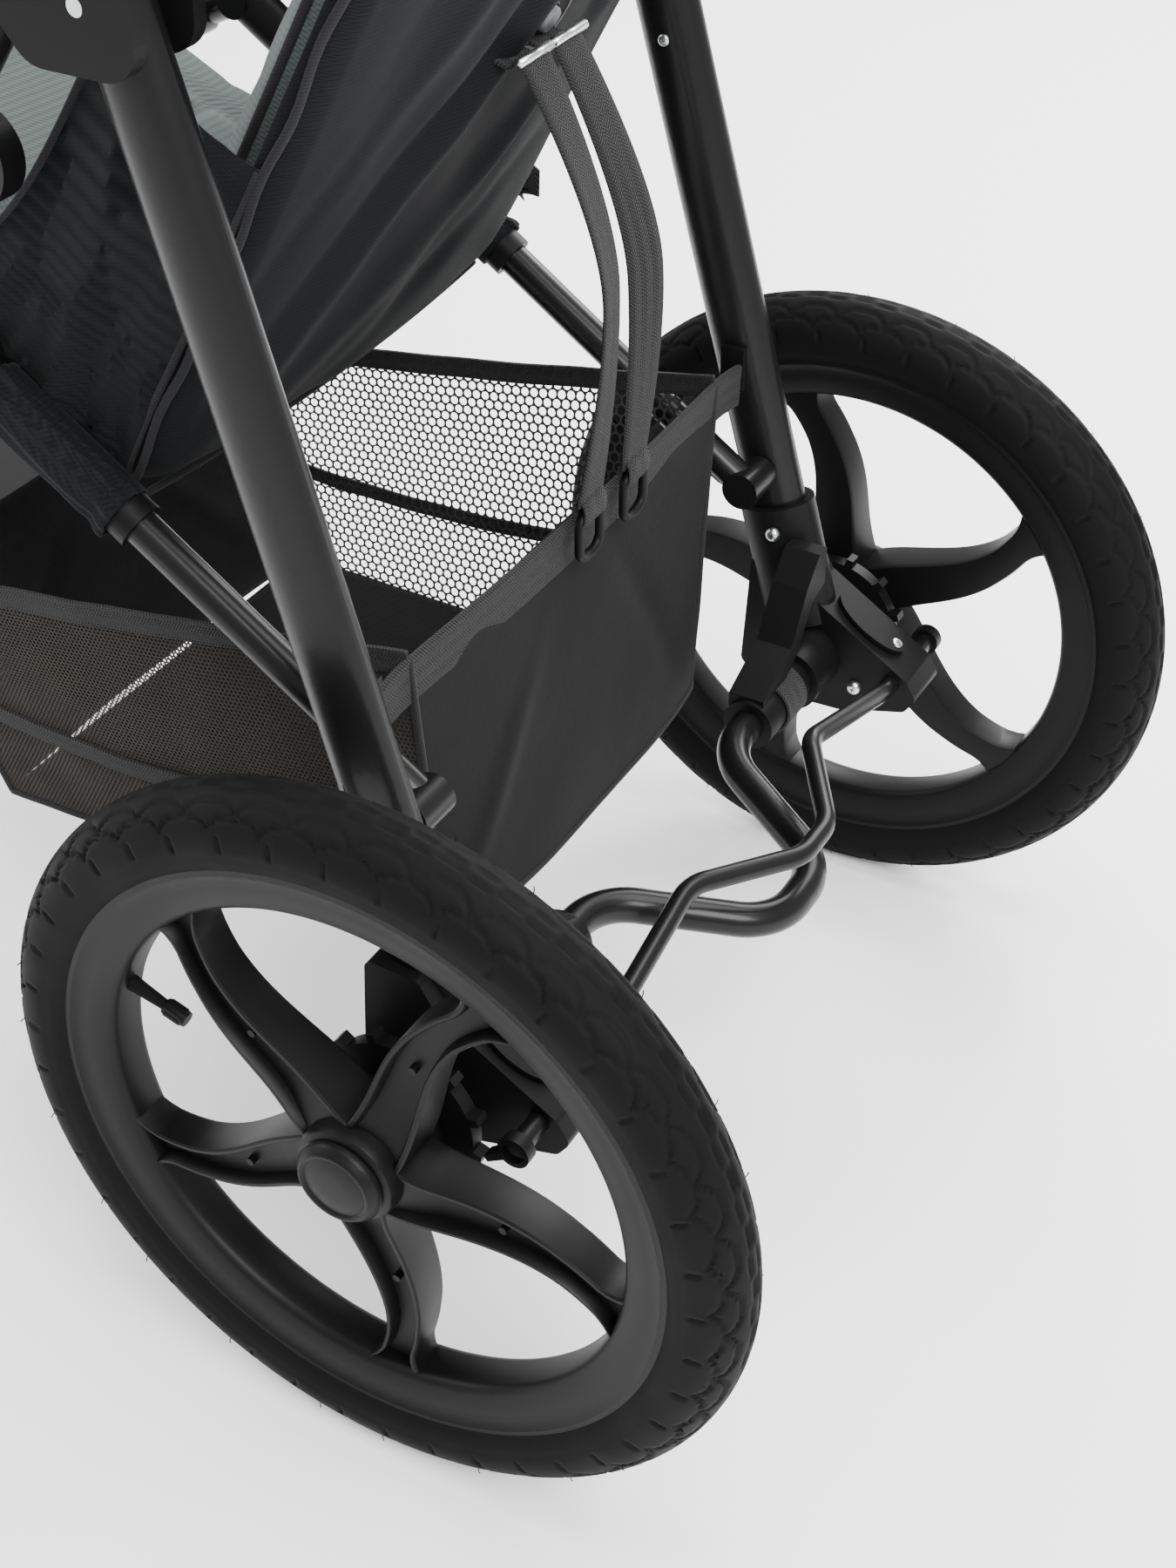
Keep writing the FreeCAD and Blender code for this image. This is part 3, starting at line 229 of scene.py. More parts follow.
def twill(name, colour, spacing=0.0011, sheen=0.04, light=1.7):
    """Diagonal ribs with a slower cross rib, a little lint and uneven dye."""
    made = Shader(name, colour, 0.82, sheen=sheen, specular=0.08)
    ribs = made.wave(spacing)
    turned = made.node("ShaderNodeMapping", {"Vector": made.place},
                       Rotation=(0.3, 0.9, 1.4)).outputs[0]
    cross = made.wave(spacing * 1.6, source=turned)
    lint = made.noise(700, 3)
    weave = made.math("ADD", made.math("MULTIPLY", ribs, 0.6),
                      made.math("MULTIPLY", cross, 0.4))
    tone = made.math("MULTIPLY", weave, made.math("ADD", 0.45, made.noise(6, 4)))
    made.vary("Base Color", tone, tuple(c * 0.7 for c in colour),
              tuple(c * light for c in colour))
    made.bump(weave, 0.00022, 0.7)
    made.bump(lint, 0.0004, 0.25)
    made.bump(made.noise(24, 4), 0.006, 0.12)
    return made.material


def webbing():
    """Flat woven tape: ribs run across it, on the piece's own UV map in metres."""
    made = Shader("black_webbing", (0.012, 0.012, 0.0125), 0.72, sheen=0.04, specular=0.12)
    split = made.node("ShaderNodeSeparateXYZ", {"Vector": made.uv})
    across, lengthwise = split.outputs[0], split.outputs[1]
    herring = made.math("ADD", lengthwise, made.math(
        "MULTIPLY", made.math("PINGPONG", across, 0.0042), 0.9))
    ribs = made.math("SINE", made.math("MULTIPLY", herring, math.tau / 0.0019))
    threads = made.math("SINE", made.math("MULTIPLY", across, math.tau / 0.0014))
    weave = made.math("ADD", ribs, made.math("MULTIPLY", threads, 0.5))
    made.bump(weave, 0.0003, 0.8)
    made.vary("Base Color", weave, (0.007, 0.007, 0.0075), (0.024, 0.024, 0.025))
    return made.material


def open_mesh(name, pitch, hole, thread_colour, light=1.6):
    """A net of round-cornered hexagonal holes on the piece's own UV map in metres."""
    made = Shader(name, thread_colour, 0.75, sheen=0.04, specular=0.1)
    made.vary("Base Color", made.noise(30, 3), tuple(c * 0.7 for c in thread_colour),
              tuple(c * light for c in thread_colour))
    nearest = None
    for shift in (0.0, 0.5):
        cell = (pitch, pitch * math.sqrt(3), 1.0)
        moved = made.node("ShaderNodeVectorMath", {0: made.uv}, operation="ADD")
        moved.inputs[1].default_value = tuple(10 * c + c * shift for c in cell[:2]) + (0,)
        folded = made.node("ShaderNodeVectorMath", {0: moved.outputs[0]}, operation="MODULO")
        folded.inputs[1].default_value = cell
        centred = made.node("ShaderNodeVectorMath", {0: folded.outputs[0]},
                            operation="SUBTRACT")
        centred.inputs[1].default_value = (cell[0] / 2, cell[1] / 2, 0)
        reach = made.node("ShaderNodeVectorMath", {0: centred.outputs[0]},
                          operation="LENGTH").outputs["Value"]
        nearest = reach if nearest is None else made.math("MINIMUM", nearest, reach)
    thread = made.math("GREATER_THAN", nearest, hole)
    made.bump(nearest, 0.0006, 0.6)
    clear = made.node("ShaderNodeBsdfTransparent")
    mix = made.node("ShaderNodeMixShader", {0: thread, 1: clear.outputs[0],
                                            2: made.bsdf.outputs[0]})
    output = next(n for n in made.tree.nodes if n.type == "OUTPUT_MATERIAL")
    made.tree.links.new(mix.outputs[0], output.inputs["Surface"])
    return made.material


def board_lining():
    made = Shader("stiff_lining", (0.02, 0.02, 0.021), 0.8)
    made.bump(made.noise(800, 3), 0.0002, 0.5)
    return made.material


def floor_paint():
    made = Shader("pale_floor", (0.93, 0.93, 0.93), 0.5, specular=0.25)
    made.vary("Base Color", made.noise(2, 2), (0.925, 0.925, 0.925), (0.94, 0.94, 0.94))
    return made.material


FINISHES = {}


def finish_of(name):
    """Each finish is made once, when a piece first asks for it."""
    makers = {
        "tube": powder_coat, "moulding": moulded, "zinc": zinc, "rubber": rubber,
        "foam": foam, "webbing": webbing, "lining": board_lining, "floor": floor_paint,
        "rim": lambda: moulded("rim_moulding", 0.003, 0.42),
        "shell": lambda: twill("black_twill", (0.0045, 0.0048, 0.0054), sheen=0.02),
        "panel": lambda: twill("basket_cloth", (0.0055, 0.0055, 0.006), 0.0006, 0.02, 1.4),
        "pad": lambda: twill("grey_green_cloth", (0.105, 0.125, 0.12), 0.0014, 0.1, 1.3),
        "piping": lambda: twill("black_piping", (0.012, 0.012, 0.013), 0.0008),
        "thread": lambda: moulded("black_thread", 0.03, 0.7),
        "net": lambda: open_mesh("hexagon_net", 0.0062, 0.00262, (0.02, 0.02, 0.02)),
        "fine_net": lambda: open_mesh("fine_net", 0.0026, 0.00098, (0.02, 0.017, 0.014)),
        "button": lambda: moulded("grey_button", 0.12, 0.35),
    }
    if name not in FINISHES:
        FINISHES[name] = makers[name]()
    return FINISHES[name]


# ------------------------------------------------------------------ mesh helpers
def piece(name, points, faces, finish, uv=None, smooth=True):
    """A mesh object at the origin with its place in its mesh."""
    mesh = bpy.data.meshes.new(name)
    mesh.from_pydata([tuple(p) for p in points], [], faces)
    if uv is not None:
        layer = mesh.uv_layers.new(name="cloth")
        for loop in mesh.loops:
            layer.data[loop.index].uv = uv[loop.vertex_index]
    mesh.polygons.foreach_set("use_smooth", [smooth] * len(mesh.polygons))
    mesh.materials.append(finish_of(finish))
    made = bpy.data.objects.new(name, mesh)
    bpy.context.collection.objects.link(made)
    return made


def outward(made, merge=1e-6):
    """Merges doubles and turns every face outwards."""
    work = bmesh.new()
    work.from_mesh(made.data)
    bmesh.ops.remove_doubles(work, verts=work.verts, dist=merge)
    bmesh.ops.recalc_face_normals(work, faces=work.faces)
    work.to_mesh(made.data)
    work.free()
    return made


def crisp(made, degrees=32):
    """Smooth shading that breaks at sharp edges."""
    made.data.shade_smooth()
    made.data.set_sharp_from_angle(angle=math.radians(degrees))
    return made


def joined(name, parts):
    """Several meshes as one, which keeps their materials."""
    bpy.ops.object.select_all(action="DESELECT")
    for part in parts:
        part.select_set(True)
    bpy.context.view_layer.objects.active = parts[0]
    bpy.ops.object.join()
    parts[0].name = parts[0].data.name = name
    return parts[0]


def with_modifier(made, kind, **settings):
    modifier = made.modifiers.new(kind.lower(), kind)
    for key, value in settings.items():
        setattr(modifier, key, value)
    return made


def settled(made):
    """The evaluated mesh, with its modifiers applied."""
    graph = bpy.context.evaluated_depsgraph_get()
    mesh = bpy.data.meshes.new_from_object(made.evaluated_get(graph))
    made.modifiers.clear()
    made.data = mesh
    return made


def grid_faces(rows, columns, wrap_rows=False, wrap_columns=False):
    faces = []
    for r in range(rows if wrap_rows else rows - 1):
        for c in range(columns if wrap_columns else columns - 1):
            below, right = (r + 1) % rows, (c + 1) % columns
            faces.append((r * columns + c, r * columns + right,
                          below * columns + right, below * columns + c))
    return faces


def lathe(name, profile, centre, finish, steps=96, closed=True):
    """Turns a profile of (radius, sideways) in millimetres about a crosswise axis."""
    points = []
    for i in range(steps):
        angle = math.tau * i / steps
        for radius, side in profile:
            points.append(centre + Vector((side, radius * math.cos(angle),
                                           radius * math.sin(angle))) / 1000)
    made = piece(name, points, grid_faces(steps, len(profile), True, closed), finish)
    return outward(made)


def frames_along(route, cyclic=False):
    """Directions and steady side vectors at each point of a route."""
    count = len(route)
    headings = []
    for i in range(count):
        before = route[i - 1] if (i or cyclic) else route[i]
        after = route[(i + 1) % count] if (i < count - 1 or cyclic) else route[i]
        headings.append((after - before).normalized())
    first = headings[0].orthogonal().normalized()
    sides = [first]
    for i in range(1, count):
        turn = headings[i - 1].rotation_difference(headings[i])
        side = turn @ sides[-1]
        sides.append((side - headings[i] * side.dot(headings[i])).normalized())
    return headings, sides


def pipe(name, route, radius, finish, sides=8, cyclic=False, taper=None):
    """A round bead or rod along a route, with closed ends."""
    headings, steady = frames_along(route, cyclic)
    points = []
    for i, centre in enumerate(route):
        size = radius * (taper(i / (len(route) - 1)) if taper else 1)
        across = headings[i].cross(steady[i])
        for k in range(sides):
            angle = math.tau * k / sides
            points.append(centre + (steady[i] * math.cos(angle)
                                    + across * math.sin(angle)) * size)
    faces = grid_faces(len(route), sides, cyclic, True)
    if not cyclic:
        faces.append(tuple(range(sides)))
        faces.append(tuple(len(points) - 1 - k for k in range(sides)))
    return outward(piece(name, points, faces, finish))


def strip(name, route, width, thickness, finish, across=None, sides=6, twist=None):
    """A flat tape along a route; across is its width direction, or one for each point."""
    headings, steady = frames_along(route)
    points, uv, run = [], [], 0.0
    section = [(-1, 0), (-0.94, 1), (-0.5, 1.0), (0, 1.0), (0.5, 1.0), (0.94, 1), (1, 0),
               (0.94, -1), (0.5, -1.0), (0, -1.0), (-0.5, -1.0), (-0.94, -1)]
    for i, centre in enumerate(route):
        wide = across[i] if isinstance(across, list) else (across or steady[i])
        wide = (wide - headings[i] * wide.dot(headings[i])).normalized()
        if twist:
            wide = Matrix.Rotation(twist(i / (len(route) - 1)), 3, headings[i]) @ wide
        off = headings[i].cross(wide)
        run += (centre - route[i - 1]).length if i else 0
        for s, t in section:
            points.append(centre + wide * (s * width / 2) + off * (t * thickness / 2))
            uv.append((s * width / 2, run))
    faces = grid_faces(len(route), len(section), False, True)
    faces.append(tuple(range(len(section))))
    faces.append(tuple(len(points) - 1 - k for k in range(len(section))))
    made = piece(name, points, faces, finish, uv)
    return crisp(outward(made, 1e-7), 50)


def eased(route, steps=8):
    """Points along a smooth line through the route's corners."""
    curve = bpy.data.curves.new("route", "CURVE")
    curve.dimensions = "3D"
    curve.resolution_u = steps
    spline = curve.splines.new("NURBS")
    spline.points.add(len(route) - 1)
    for point, place in zip(spline.points, route):
        point.co = (*place, 1)
    spline.order_u = 3
    spline.use_endpoint_u = True
    holder = bpy.data.objects.new("route", curve)
    bpy.context.collection.objects.link(holder)
    mesh = bpy.data.meshes.new_from_object(holder)
    points = [v.co.copy() for v in mesh.vertices]
    bpy.data.objects.remove(holder)
    bpy.data.meshes.remove(mesh)
    return points


def sheet_between(name, rows, finish, thickness=0.0014, uv_from=None):
    """Cloth through rows of points, given a thickness, with a UV map in metres."""
    columns = len(rows[0])
    points = [p for row in rows for p in row]
    uv = []
    down = 0.0
    for r, row in enumerate(rows):
        if r:
            down += (row[columns // 2] - rows[r - 1][columns // 2]).length
        run = 0.0
        for c, point in enumerate(row):
            run += (point - row[c - 1]).length if c else 0
            uv.append((run, down))
    made = piece(name, points, grid_faces(len(rows), columns), finish, uv)
    with_modifier(made, "SOLIDIFY", thickness=thickness, offset=0.0)
    return settled(made)


def stitch_tree():
    """Geometry nodes that lay short threads end to end along a line."""
    tree = bpy.data.node_groups.get("stitches")
    if tree:
        return tree
    tree = bpy.data.node_groups.new("stitches", "GeometryNodeTree")
    tree.interface.new_socket(name="Line", in_out="INPUT", socket_type="NodeSocketGeometry")
    for name, default in (("Spacing", 0.004), ("Length", 0.0026), ("Thickness", 0.00035)):
        made = tree.interface.new_socket(name=name, in_out="INPUT",
                                         socket_type="NodeSocketFloat")
        made.default_value = default
    tree.interface.new_socket(name="Finish", in_out="INPUT", socket_type="NodeSocketMaterial")
    tree.interface.new_socket(name="Stitches", in_out="OUTPUT",
                              socket_type="NodeSocketGeometry")
    enter, leave, curve, evenly, thread, heading, turn, put, real, dress = (
        tree.nodes.new(kind) for kind in (
            "NodeGroupInput", "NodeGroupOutput", "GeometryNodeMeshToCurve",
            "GeometryNodeResampleCurve", "GeometryNodeMeshCylinder",
            "GeometryNodeInputTangent", "FunctionNodeAlignRotationToVector",
            "GeometryNodeInstanceOnPoints", "GeometryNodeRealizeInstances",
            "GeometryNodeSetMaterial"))
    evenly.mode = "LENGTH"
    turn.axis = "Z"
    thread.inputs["Vertices"].default_value = 6
    for start, end in (
            (enter.outputs["Line"], curve.inputs["Mesh"]),
            (curve.outputs["Curve"], evenly.inputs["Curve"]),
            (enter.outputs["Spacing"], evenly.inputs["Length"]),
            (enter.outputs["Thickness"], thread.inputs["Radius"]),
            (enter.outputs["Length"], thread.inputs["Depth"]),
            (heading.outputs["Tangent"], turn.inputs["Vector"]),
            (evenly.outputs["Curve"], put.inputs["Points"]),
            (thread.outputs["Mesh"], put.inputs["Instance"]),
            (turn.outputs["Rotation"], put.inputs["Rotation"]),
            (put.outputs["Instances"], real.inputs["Geometry"]),
            (real.outputs["Geometry"], dress.inputs["Geometry"]),
            (enter.outputs["Finish"], dress.inputs["Material"]),
            (dress.outputs["Geometry"], leave.inputs["Stitches"])):
        tree.links.new(start, end)
    return tree


def stitched(route, spacing=0.004, finish="thread"):
    """A row of stitches along a route, as a plain mesh."""
    mesh = bpy.data.meshes.new("stitch_line")
    mesh.from_pydata([tuple(p) for p in route], [(i, i + 1) for i in range(len(route) - 1)], [])
    made = bpy.data.objects.new("stitch_row", mesh)
    bpy.context.collection.objects.link(made)
    modifier = made.modifiers.new("stitches", "NODES")
    modifier.node_group = stitch_tree()
    values = {"Spacing": spacing, "Length": spacing * 0.64, "Finish": finish_of(finish)}
    for item in modifier.node_group.interface.items_tree:
        if item.in_out == "INPUT" and item.name in values:
            modifier[item.identifier] = values[item.name]
    return settled(made)


def paint(node, finish):
    """Gives a carried-over frame node its finish."""
    part = frame["nodes"][node]
    part.data.materials.clear()
    part.data.materials.append(finish_of(finish))
    crisp(part, 35) if part.data.polygons else None


# ------------------------------------------------------------------ wheels
def tyre_tread(u, v, pitch):
    """Depth of the tread grooves, in millimetres, at u round the tyre and v across it."""
    across = abs(v)
    phase = (u / pitch) % 1.0
    lean = 0.18 * math.copysign(1, v)
    deep = 0.0
    arch = 20.5 - 10.5 * math.sqrt(max(0.0, 1 - ((phase + lean) % 1.0 * 2 - 1) ** 2))
    deep = max(deep, 1.0 - abs(across - arch) / 1.3)
    second = ((phase + lean + 0.5) % 1.0) * 2 - 1
    inner = 25.5 - 7.0 * math.sqrt(max(0.0, 1 - second ** 2))
    deep = max(deep, 1.0 - abs(across - inner) / 1.1)
    deep = max(deep, 0.8 * (1.0 - abs(across - 2.6 - 0.9 * math.cos(math.tau * phase)) / 0.9))
    notch = abs((phase + 0.35) % 1.0 - 0.5) * pitch
    if 27 < across < 34:
        deep = max(deep, 1.0 - notch / 1.4)
    return 1.5 * max(0.0, min(1.0, deep * 1.6))


def make_tyre(name, node, radius, section, rim_radius, body):
    """A round tyre with scalloped tread, ribbed side walls and moulding hairs."""
    centre = middle(node)
    crown, count = radius - section, 760 if radius > 180 else 600
    pitches = round(math.tau * radius / 31)
    pitch = math.tau * radius / pitches
    reach = math.acos((rim_radius + 1.2 - crown) / section)
    angles = [reach * (1 - 2 * k / 52) for k in range(53)]
    points, columns = [], len(angles)
    for i in range(count):
        turn = math.tau * i / count
        spoke = Vector((0, math.cos(turn), math.sin(turn)))
        for angle in angles:
            along = angle * section
            sink = tyre_tread(turn * radius, along, pitch)
            wall = abs(along)
            for groove, width in ((36.5, 0.8), (39.0, 0.5), (48.0, 0.9), (51.0, 0.5)):
                sink += 0.5 * max(0.0, 1 - abs(wall - groove) / width)
            r = crown + (section - sink) * math.cos(angle)
            points.append(centre + spoke * (r / 1000)
                          + Vector(((section - sink) * math.sin(angle) / 1000, 0, 0)))
    lip = columns
    faces = grid_faces(count, columns, True, False)
    closed = []
    inner = rim_radius - 9
    for i in range(count):
        turn = math.tau * i / count
        spoke = Vector((0, math.cos(turn), math.sin(turn)))
        for side in (-9.6, 9.6):
            closed.append(centre + spoke * (inner / 1000) + Vector((side / 1000, 0, 0)))
    base = len(points)
    points += closed
    for i in range(count):
        j = (i + 1) % count
        low, high = base + 2 * i, base + 2 * i + 1
        low_next, high_next = base + 2 * j, base + 2 * j + 1
        first, last = i * columns, i * columns + lip - 1
        first_next, last_next = j * columns, j * columns + lip - 1
        faces += [(last, low, low_next, last_next), (low, high, high_next, low_next),
                  (high, first, first_next, high_next)]
    tyre = outward(piece(name, points, faces, "rubber"))
    hairs = []
    for k in range(46):
        turn = math.tau * (k + 0.31 * math.sin(k * 7.3)) / 46
        angle = math.radians(48 if k % 2 else -48) * (1 + 0.12 * math.sin(k * 3.1))
        spoke = Vector((math.sin(angle), math.cos(turn) * math.cos(angle),
                        math.sin(turn) * math.cos(angle)))
        root = centre + Vector((0, math.cos(turn), math.sin(turn))) * (crown / 1000) \
            + spoke * ((section - 0.4) / 1000)
        bend = Vector((0, -math.sin(turn), math.cos(turn))) * 0.0008
        hairs.append(pipe("hair", [root, root + spoke * 0.0015 + bend,
                                   root + spoke * 0.0026 + bend * 2.4], 0.00028, "rubber", 4))
    tyre = joined(name, [tyre] + hairs)
    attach(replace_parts(tyre, node), body)
    return tyre


def spoke_blade(name, centre, angle, hub, ring, outer, swirl, root_half, tip_half, depth):
    """One moulded spoke: a curved channel with a rib along each edge and a thin web."""
    stations, points = 26, []
    for i in range(stations):
        t = i / (stations - 1)
        r = hub * 0.72 + (ring + 4 - hub * 0.72) * t
        bow = swirl * math.sin(math.pi * t * 0.9) * (1 - 0.35 * t)
        turn = angle + bow
        half = root_half + (tip_half - root_half) * min(1.0, t / 0.72) ** 0.72
        half += 9.0 * max(0.0, (t - 0.86) / 0.14) ** 2
        face = depth * (1 - 0.25 * t) + 3.0 * math.exp(-((t - 0.05) / 0.18) ** 2)
        web = face - 2.0 - 5.5 * min(1.0, t / 0.22)
        back = -depth * (0.92 - 0.25 * t)
        rib = 3.4
        section = [(-half + 1, back), (-half, back + 2), (-half, face - 1), (-half + 1, face),
                   (-half + rib - 0.8, face), (-half + rib, face - 1),
                   (-half + rib + 0.8, web), (0, web), (half - rib - 0.8, web),
                   (half - rib, face - 1), (half - rib + 0.8, face), (half - 1, face),
                   (half, face - 1), (half, back + 2), (half - 1, back), (0, back - 1.2)]
        lean = bow * 0.6 - swirl * 0.4 * math.cos(math.pi * t)
        radial = Vector((0, math.cos(turn), math.sin(turn)))
        aside = Vector((0, -math.sin(turn + lean), math.cos(turn + lean)))
        for s, x in section:
            points.append(centre + (radial * r + aside * s) / 1000
                          + Vector((outer * x / 1000, 0, 0)))
    wide = 16
    faces = grid_faces(stations, wide, False, True)
    faces += [tuple(range(wide)), tuple(len(points) - 1 - k for k in range(wide))]
    return outward(piece(name, points, faces, "rim"))


def make_rim(name, node, body, outer, rim_radius, inner, half, hub, hub_half, first_turn):
    """Hub, five swept spokes and a deep smooth barrel, moulded as one."""
    centre = middle(node)
    edge = [(rim_radius, half), (rim_radius - 1, half + 0), (rim_radius - 3.5, half),
            (rim_radius - 5, half - 1.2), (rim_radius - 8, half - 2.2),
            (rim_radius - 12, half - 2.6), (inner + 4, half - 4), (inner + 1.4, half - 6),
            (inner, half - 9)]
    profile = edge + [(r, -x) for r, x in reversed(edge)]
    profile += [(rim_radius, 4 - half), (rim_radius - 13, 6 - half),
                (rim_radius - 13, half - 6), (rim_radius, half - 4)]
    parts = [lathe("barrel", profile, centre, "rim", 160)]
    parts.append(lathe("hub", [
        (6.3, -hub_half), (hub - 4, -hub_half), (hub - 1, 3 - hub_half), (hub, 8 - hub_half),
        (hub, hub_half - 6), (hub - 1.5, hub_half - 2), (hub - 5, hub_half), (6.3, hub_half)],
        centre, "rim", 72))
    scale = hub / 27
    for k in range(5):
        turn = first_turn + math.tau * k / 5
        parts.append(spoke_blade("spoke", centre, turn, hub, inner, outer, 0.26 * outer,
                                 17.5 * scale, 10.5 * scale, (hub_half - 6) * 0.78))
        dimple = turn + 0.2 * outer
        spot = centre + Vector((0, math.cos(dimple), math.sin(dimple))) * (inner * 0.55 / 1000)
        parts.append(pipe("dimple", [spot + Vector((outer * 0.001 * x, 0, 0))
                                     for x in (hub_half * 0.15, hub_half * 0.36)],
                          0.0021, "rim", 14))
    valve_turn = first_turn + math.tau * 1.5 / 5
    radial = Vector((0, math.cos(valve_turn), math.sin(valve_turn)))
    base = centre + radial * ((inner + 1) / 1000)
    parts.append(pipe("valve_stem", [base, base - radial * 0.006, base - radial * 0.014,
                                     base - radial * 0.022], 0.0031, "rubber", 18,
                      taper=lambda t: 1.35 - 0.5 * t))
    cap_route = [base - radial * d for d in (0.021, 0.0215, 0.027, 0.0325, 0.034)]
    cap = pipe("valve_cap", cap_route, 0.0042, "moulding", 20,
               taper=lambda t: 0.93 if t in (0, 1) else 1.0)
    parts.append(cap)
    for k in range(10):
        swing = math.tau * k / 10
        side = (Vector((math.cos(swing), 0, 0))
                + Vector((0, -radial.z, radial.y)) * math.sin(swing)) * 0.0042
        parts.append(pipe("cap_rib", [base - radial * 0.0222 + side,
                                      base - radial * 0.0318 + side], 0.0005, "moulding", 5))
    rim = crisp(joined(name, parts), 38)
    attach(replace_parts(rim, node), body)
    return rim


def make_hub_cap(name, node, body, outer):
    """A domed cap with a raised ring round a dished middle."""
    low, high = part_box(node)
    centre = (low + high) / 2
    centre.x = low.x if outer > 0 else high.x
    profile = [(0.0, 7.6), (6, 7.7), (12, 7.3), (15.6, 6.4), (16.6, 6.2), (17.2, 6.8),
               (18.4, 7.4), (19.6, 7.0), (20.4, 5.6), (21.8, 4.4), (22.8, 2.6), (23.0, 0.4),
               (22.4, 0.0), (0.0, 0.0)]
    cap = lathe(name, [(r, outer * x) for r, x in profile], centre, "rim", 96)
    crisp(cap, 50)
    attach(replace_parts(cap, node), body)
    return cap


# ------------------------------------------------------------------ seat
def crease(x, distance, x0, d0, slope, width, length, height):
    """A soft fold in cloth: a ridge through x0, d0 that runs along a slope."""
    dx, dd = x - x0, distance - d0
    along = dx * math.sin(slope) + dd * math.cos(slope)
    across = dx * math.cos(slope) - dd * math.sin(slope)
    return height * math.exp(-(across / width) ** 2) * math.exp(-(along / length) ** 2)


SHELL_FOLDS = [
    (-20, 250, -0.55, 10, 150, 5.0), (30, 200, -0.62, 12, 170, -5.5),
    (70, 260, -0.5, 14, 150, 5.5), (-70, 160, -0.7, 12, 120, 4.0),
    (110, 190, -0.45, 11, 150, -4.5), (10, 90, -0.9, 14, 110, 4.5),
    (-110, 240, -0.35, 13, 130, -4.0), (-40, 60, -1.05, 12, 90, -3.5),
    (90, 90, -0.6, 14, 100, 5.0), (-5, 330, -0.4, 12, 120, 4.0),
    (60, 390, -0.3, 15, 130, -4.5), (-90, 380, -0.2, 14, 120, 4.0)]


def shell_relief(x, distance):
    folds = sum(crease(x, distance, *fold) for fold in SHELL_FOLDS)
    wander = noise.noise(Vector((x / 45, distance / 90, 3.1))) * 2.4
    return folds + wander


def make_shell():
    """The taut cloth back of the seat, drawn round the stiff board and hemmed below."""
    rows = []
    for i in range(121):
        distance = -8 + 484 * i / 120
        row = []
        for k in range(101):
            s = -1 + 2 * k / 100
            x = 156 * s
            edge = 1 - abs(s) ** 10
            belly = 9 * (1 - s * s) + 4 * math.exp(-((distance - 40) / 60) ** 2)
            across = 7.5 + belly * edge + shell_relief(x, distance) * edge
            if abs(s) > 0.93:
                across -= 14 * ((abs(s) - 0.93) / 0.07) ** 2
            if i < 6:
                across -= (6 - i) ** 2 * 0.5
            row.append(on_back(x, distance, across))
        rows.append(row)
    shell = sheet_between("seat_shell", rows, "shell", 0.0016)
    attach(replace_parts(shell, "backrest_board"), "backrest")
    beads = []
    for side in (-1, 1):
        route = [on_back(157 * side, -6 + 480 * i / 60, 0.5 + 1.2 * math.sin(i * 0.7))
                 for i in range(61)]
        beads.append(pipe("shell_piping", route, 0.0022, "piping", 8))
    hem = [on_back(-150 + 5 * i, -9, 5 + 6 * (1 - (i / 30 - 1) ** 2)) for i in range(61)]
    beads.append(pipe("shell_hem", hem, 0.002, "piping", 8))
    tab = strip("side_tab", [on_back(-157, 54, 2), on_back(-163, 50, 5), on_back(-166, 42, 8),
                             on_back(-163, 37, 6)], 0.016, 0.002, "webbing", X_WIDE_TAB)
    beads.append(tab)
    trim = joined("seat_shell_trim", beads)
    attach(trim, "backrest")


X_WIDE_TAB = Vector((0, 0.5, 0.85))


def quilt(x, distance):
    """How far the sewn channels of a seat pad pull its face in, in millimetres."""
    pull = 0.0
    for line in (-88, 88):
        pull = max(pull, math.exp(-((x - line) / 5.0) ** 2))
    for line in (118, 236, 354):
        if abs(x) < 92:
            pull = max(pull, math.exp(-((distance - line) / 5.0) ** 2))
    return 7.0 * pull


def pad_block(name, place, width, length, thick, finish, cushion=1.0):
    """A crowned closed pad: its edges pull in between the corners, sewn channels on top."""
    across_count, along_count = 46, 66
    points, faces = [], []
    for layer in (1, -1):
        for j in range(along_count + 1):
            for i in range(across_count + 1):
                s, t = -1 + 2 * i / across_count, -1 + 2 * j / along_count
                pinch = 1 - 0.035 * (1 - t * t) * abs(s) ** 3
                wide = s * width / 2 * pinch
                deep = (t + 1) / 2 * length
                deep = length / 2 + (deep - length / 2) * (1 - 0.03 * (1 - s * s) * abs(t) ** 3)
                edge = (1 - abs(s) ** 5) * (1 - abs(t) ** 7)
                height = layer * thick / 2 * (0.22 + 0.78 * edge ** 0.5)
                if layer > 0:
                    height -= quilt(wide, deep) * cushion * edge
                points.append(place(wide, deep, height))
    stride = across_count + 1
    half = stride * (along_count + 1)
    for j in range(along_count):
        for i in range(across_count):
            a = j * stride + i
            faces.append((a, a + 1, a + 1 + stride, a + stride))
            faces.append((half + a, half + a + stride, half + a + 1 + stride, half + a + 1))
    rim = [i for i in range(stride)]
    rim += [j * stride + across_count for j in range(1, along_count + 1)]
    rim += [along_count * stride + i for i in range(across_count - 1, -1, -1)]
    rim += [j * stride for j in range(along_count - 1, 0, -1)]
    for k, a in enumerate(rim):
        b = rim[(k + 1) % len(rim)]
        faces.append((a, half + a, half + b, b))
    return outward(piece(name, points, faces, finish))


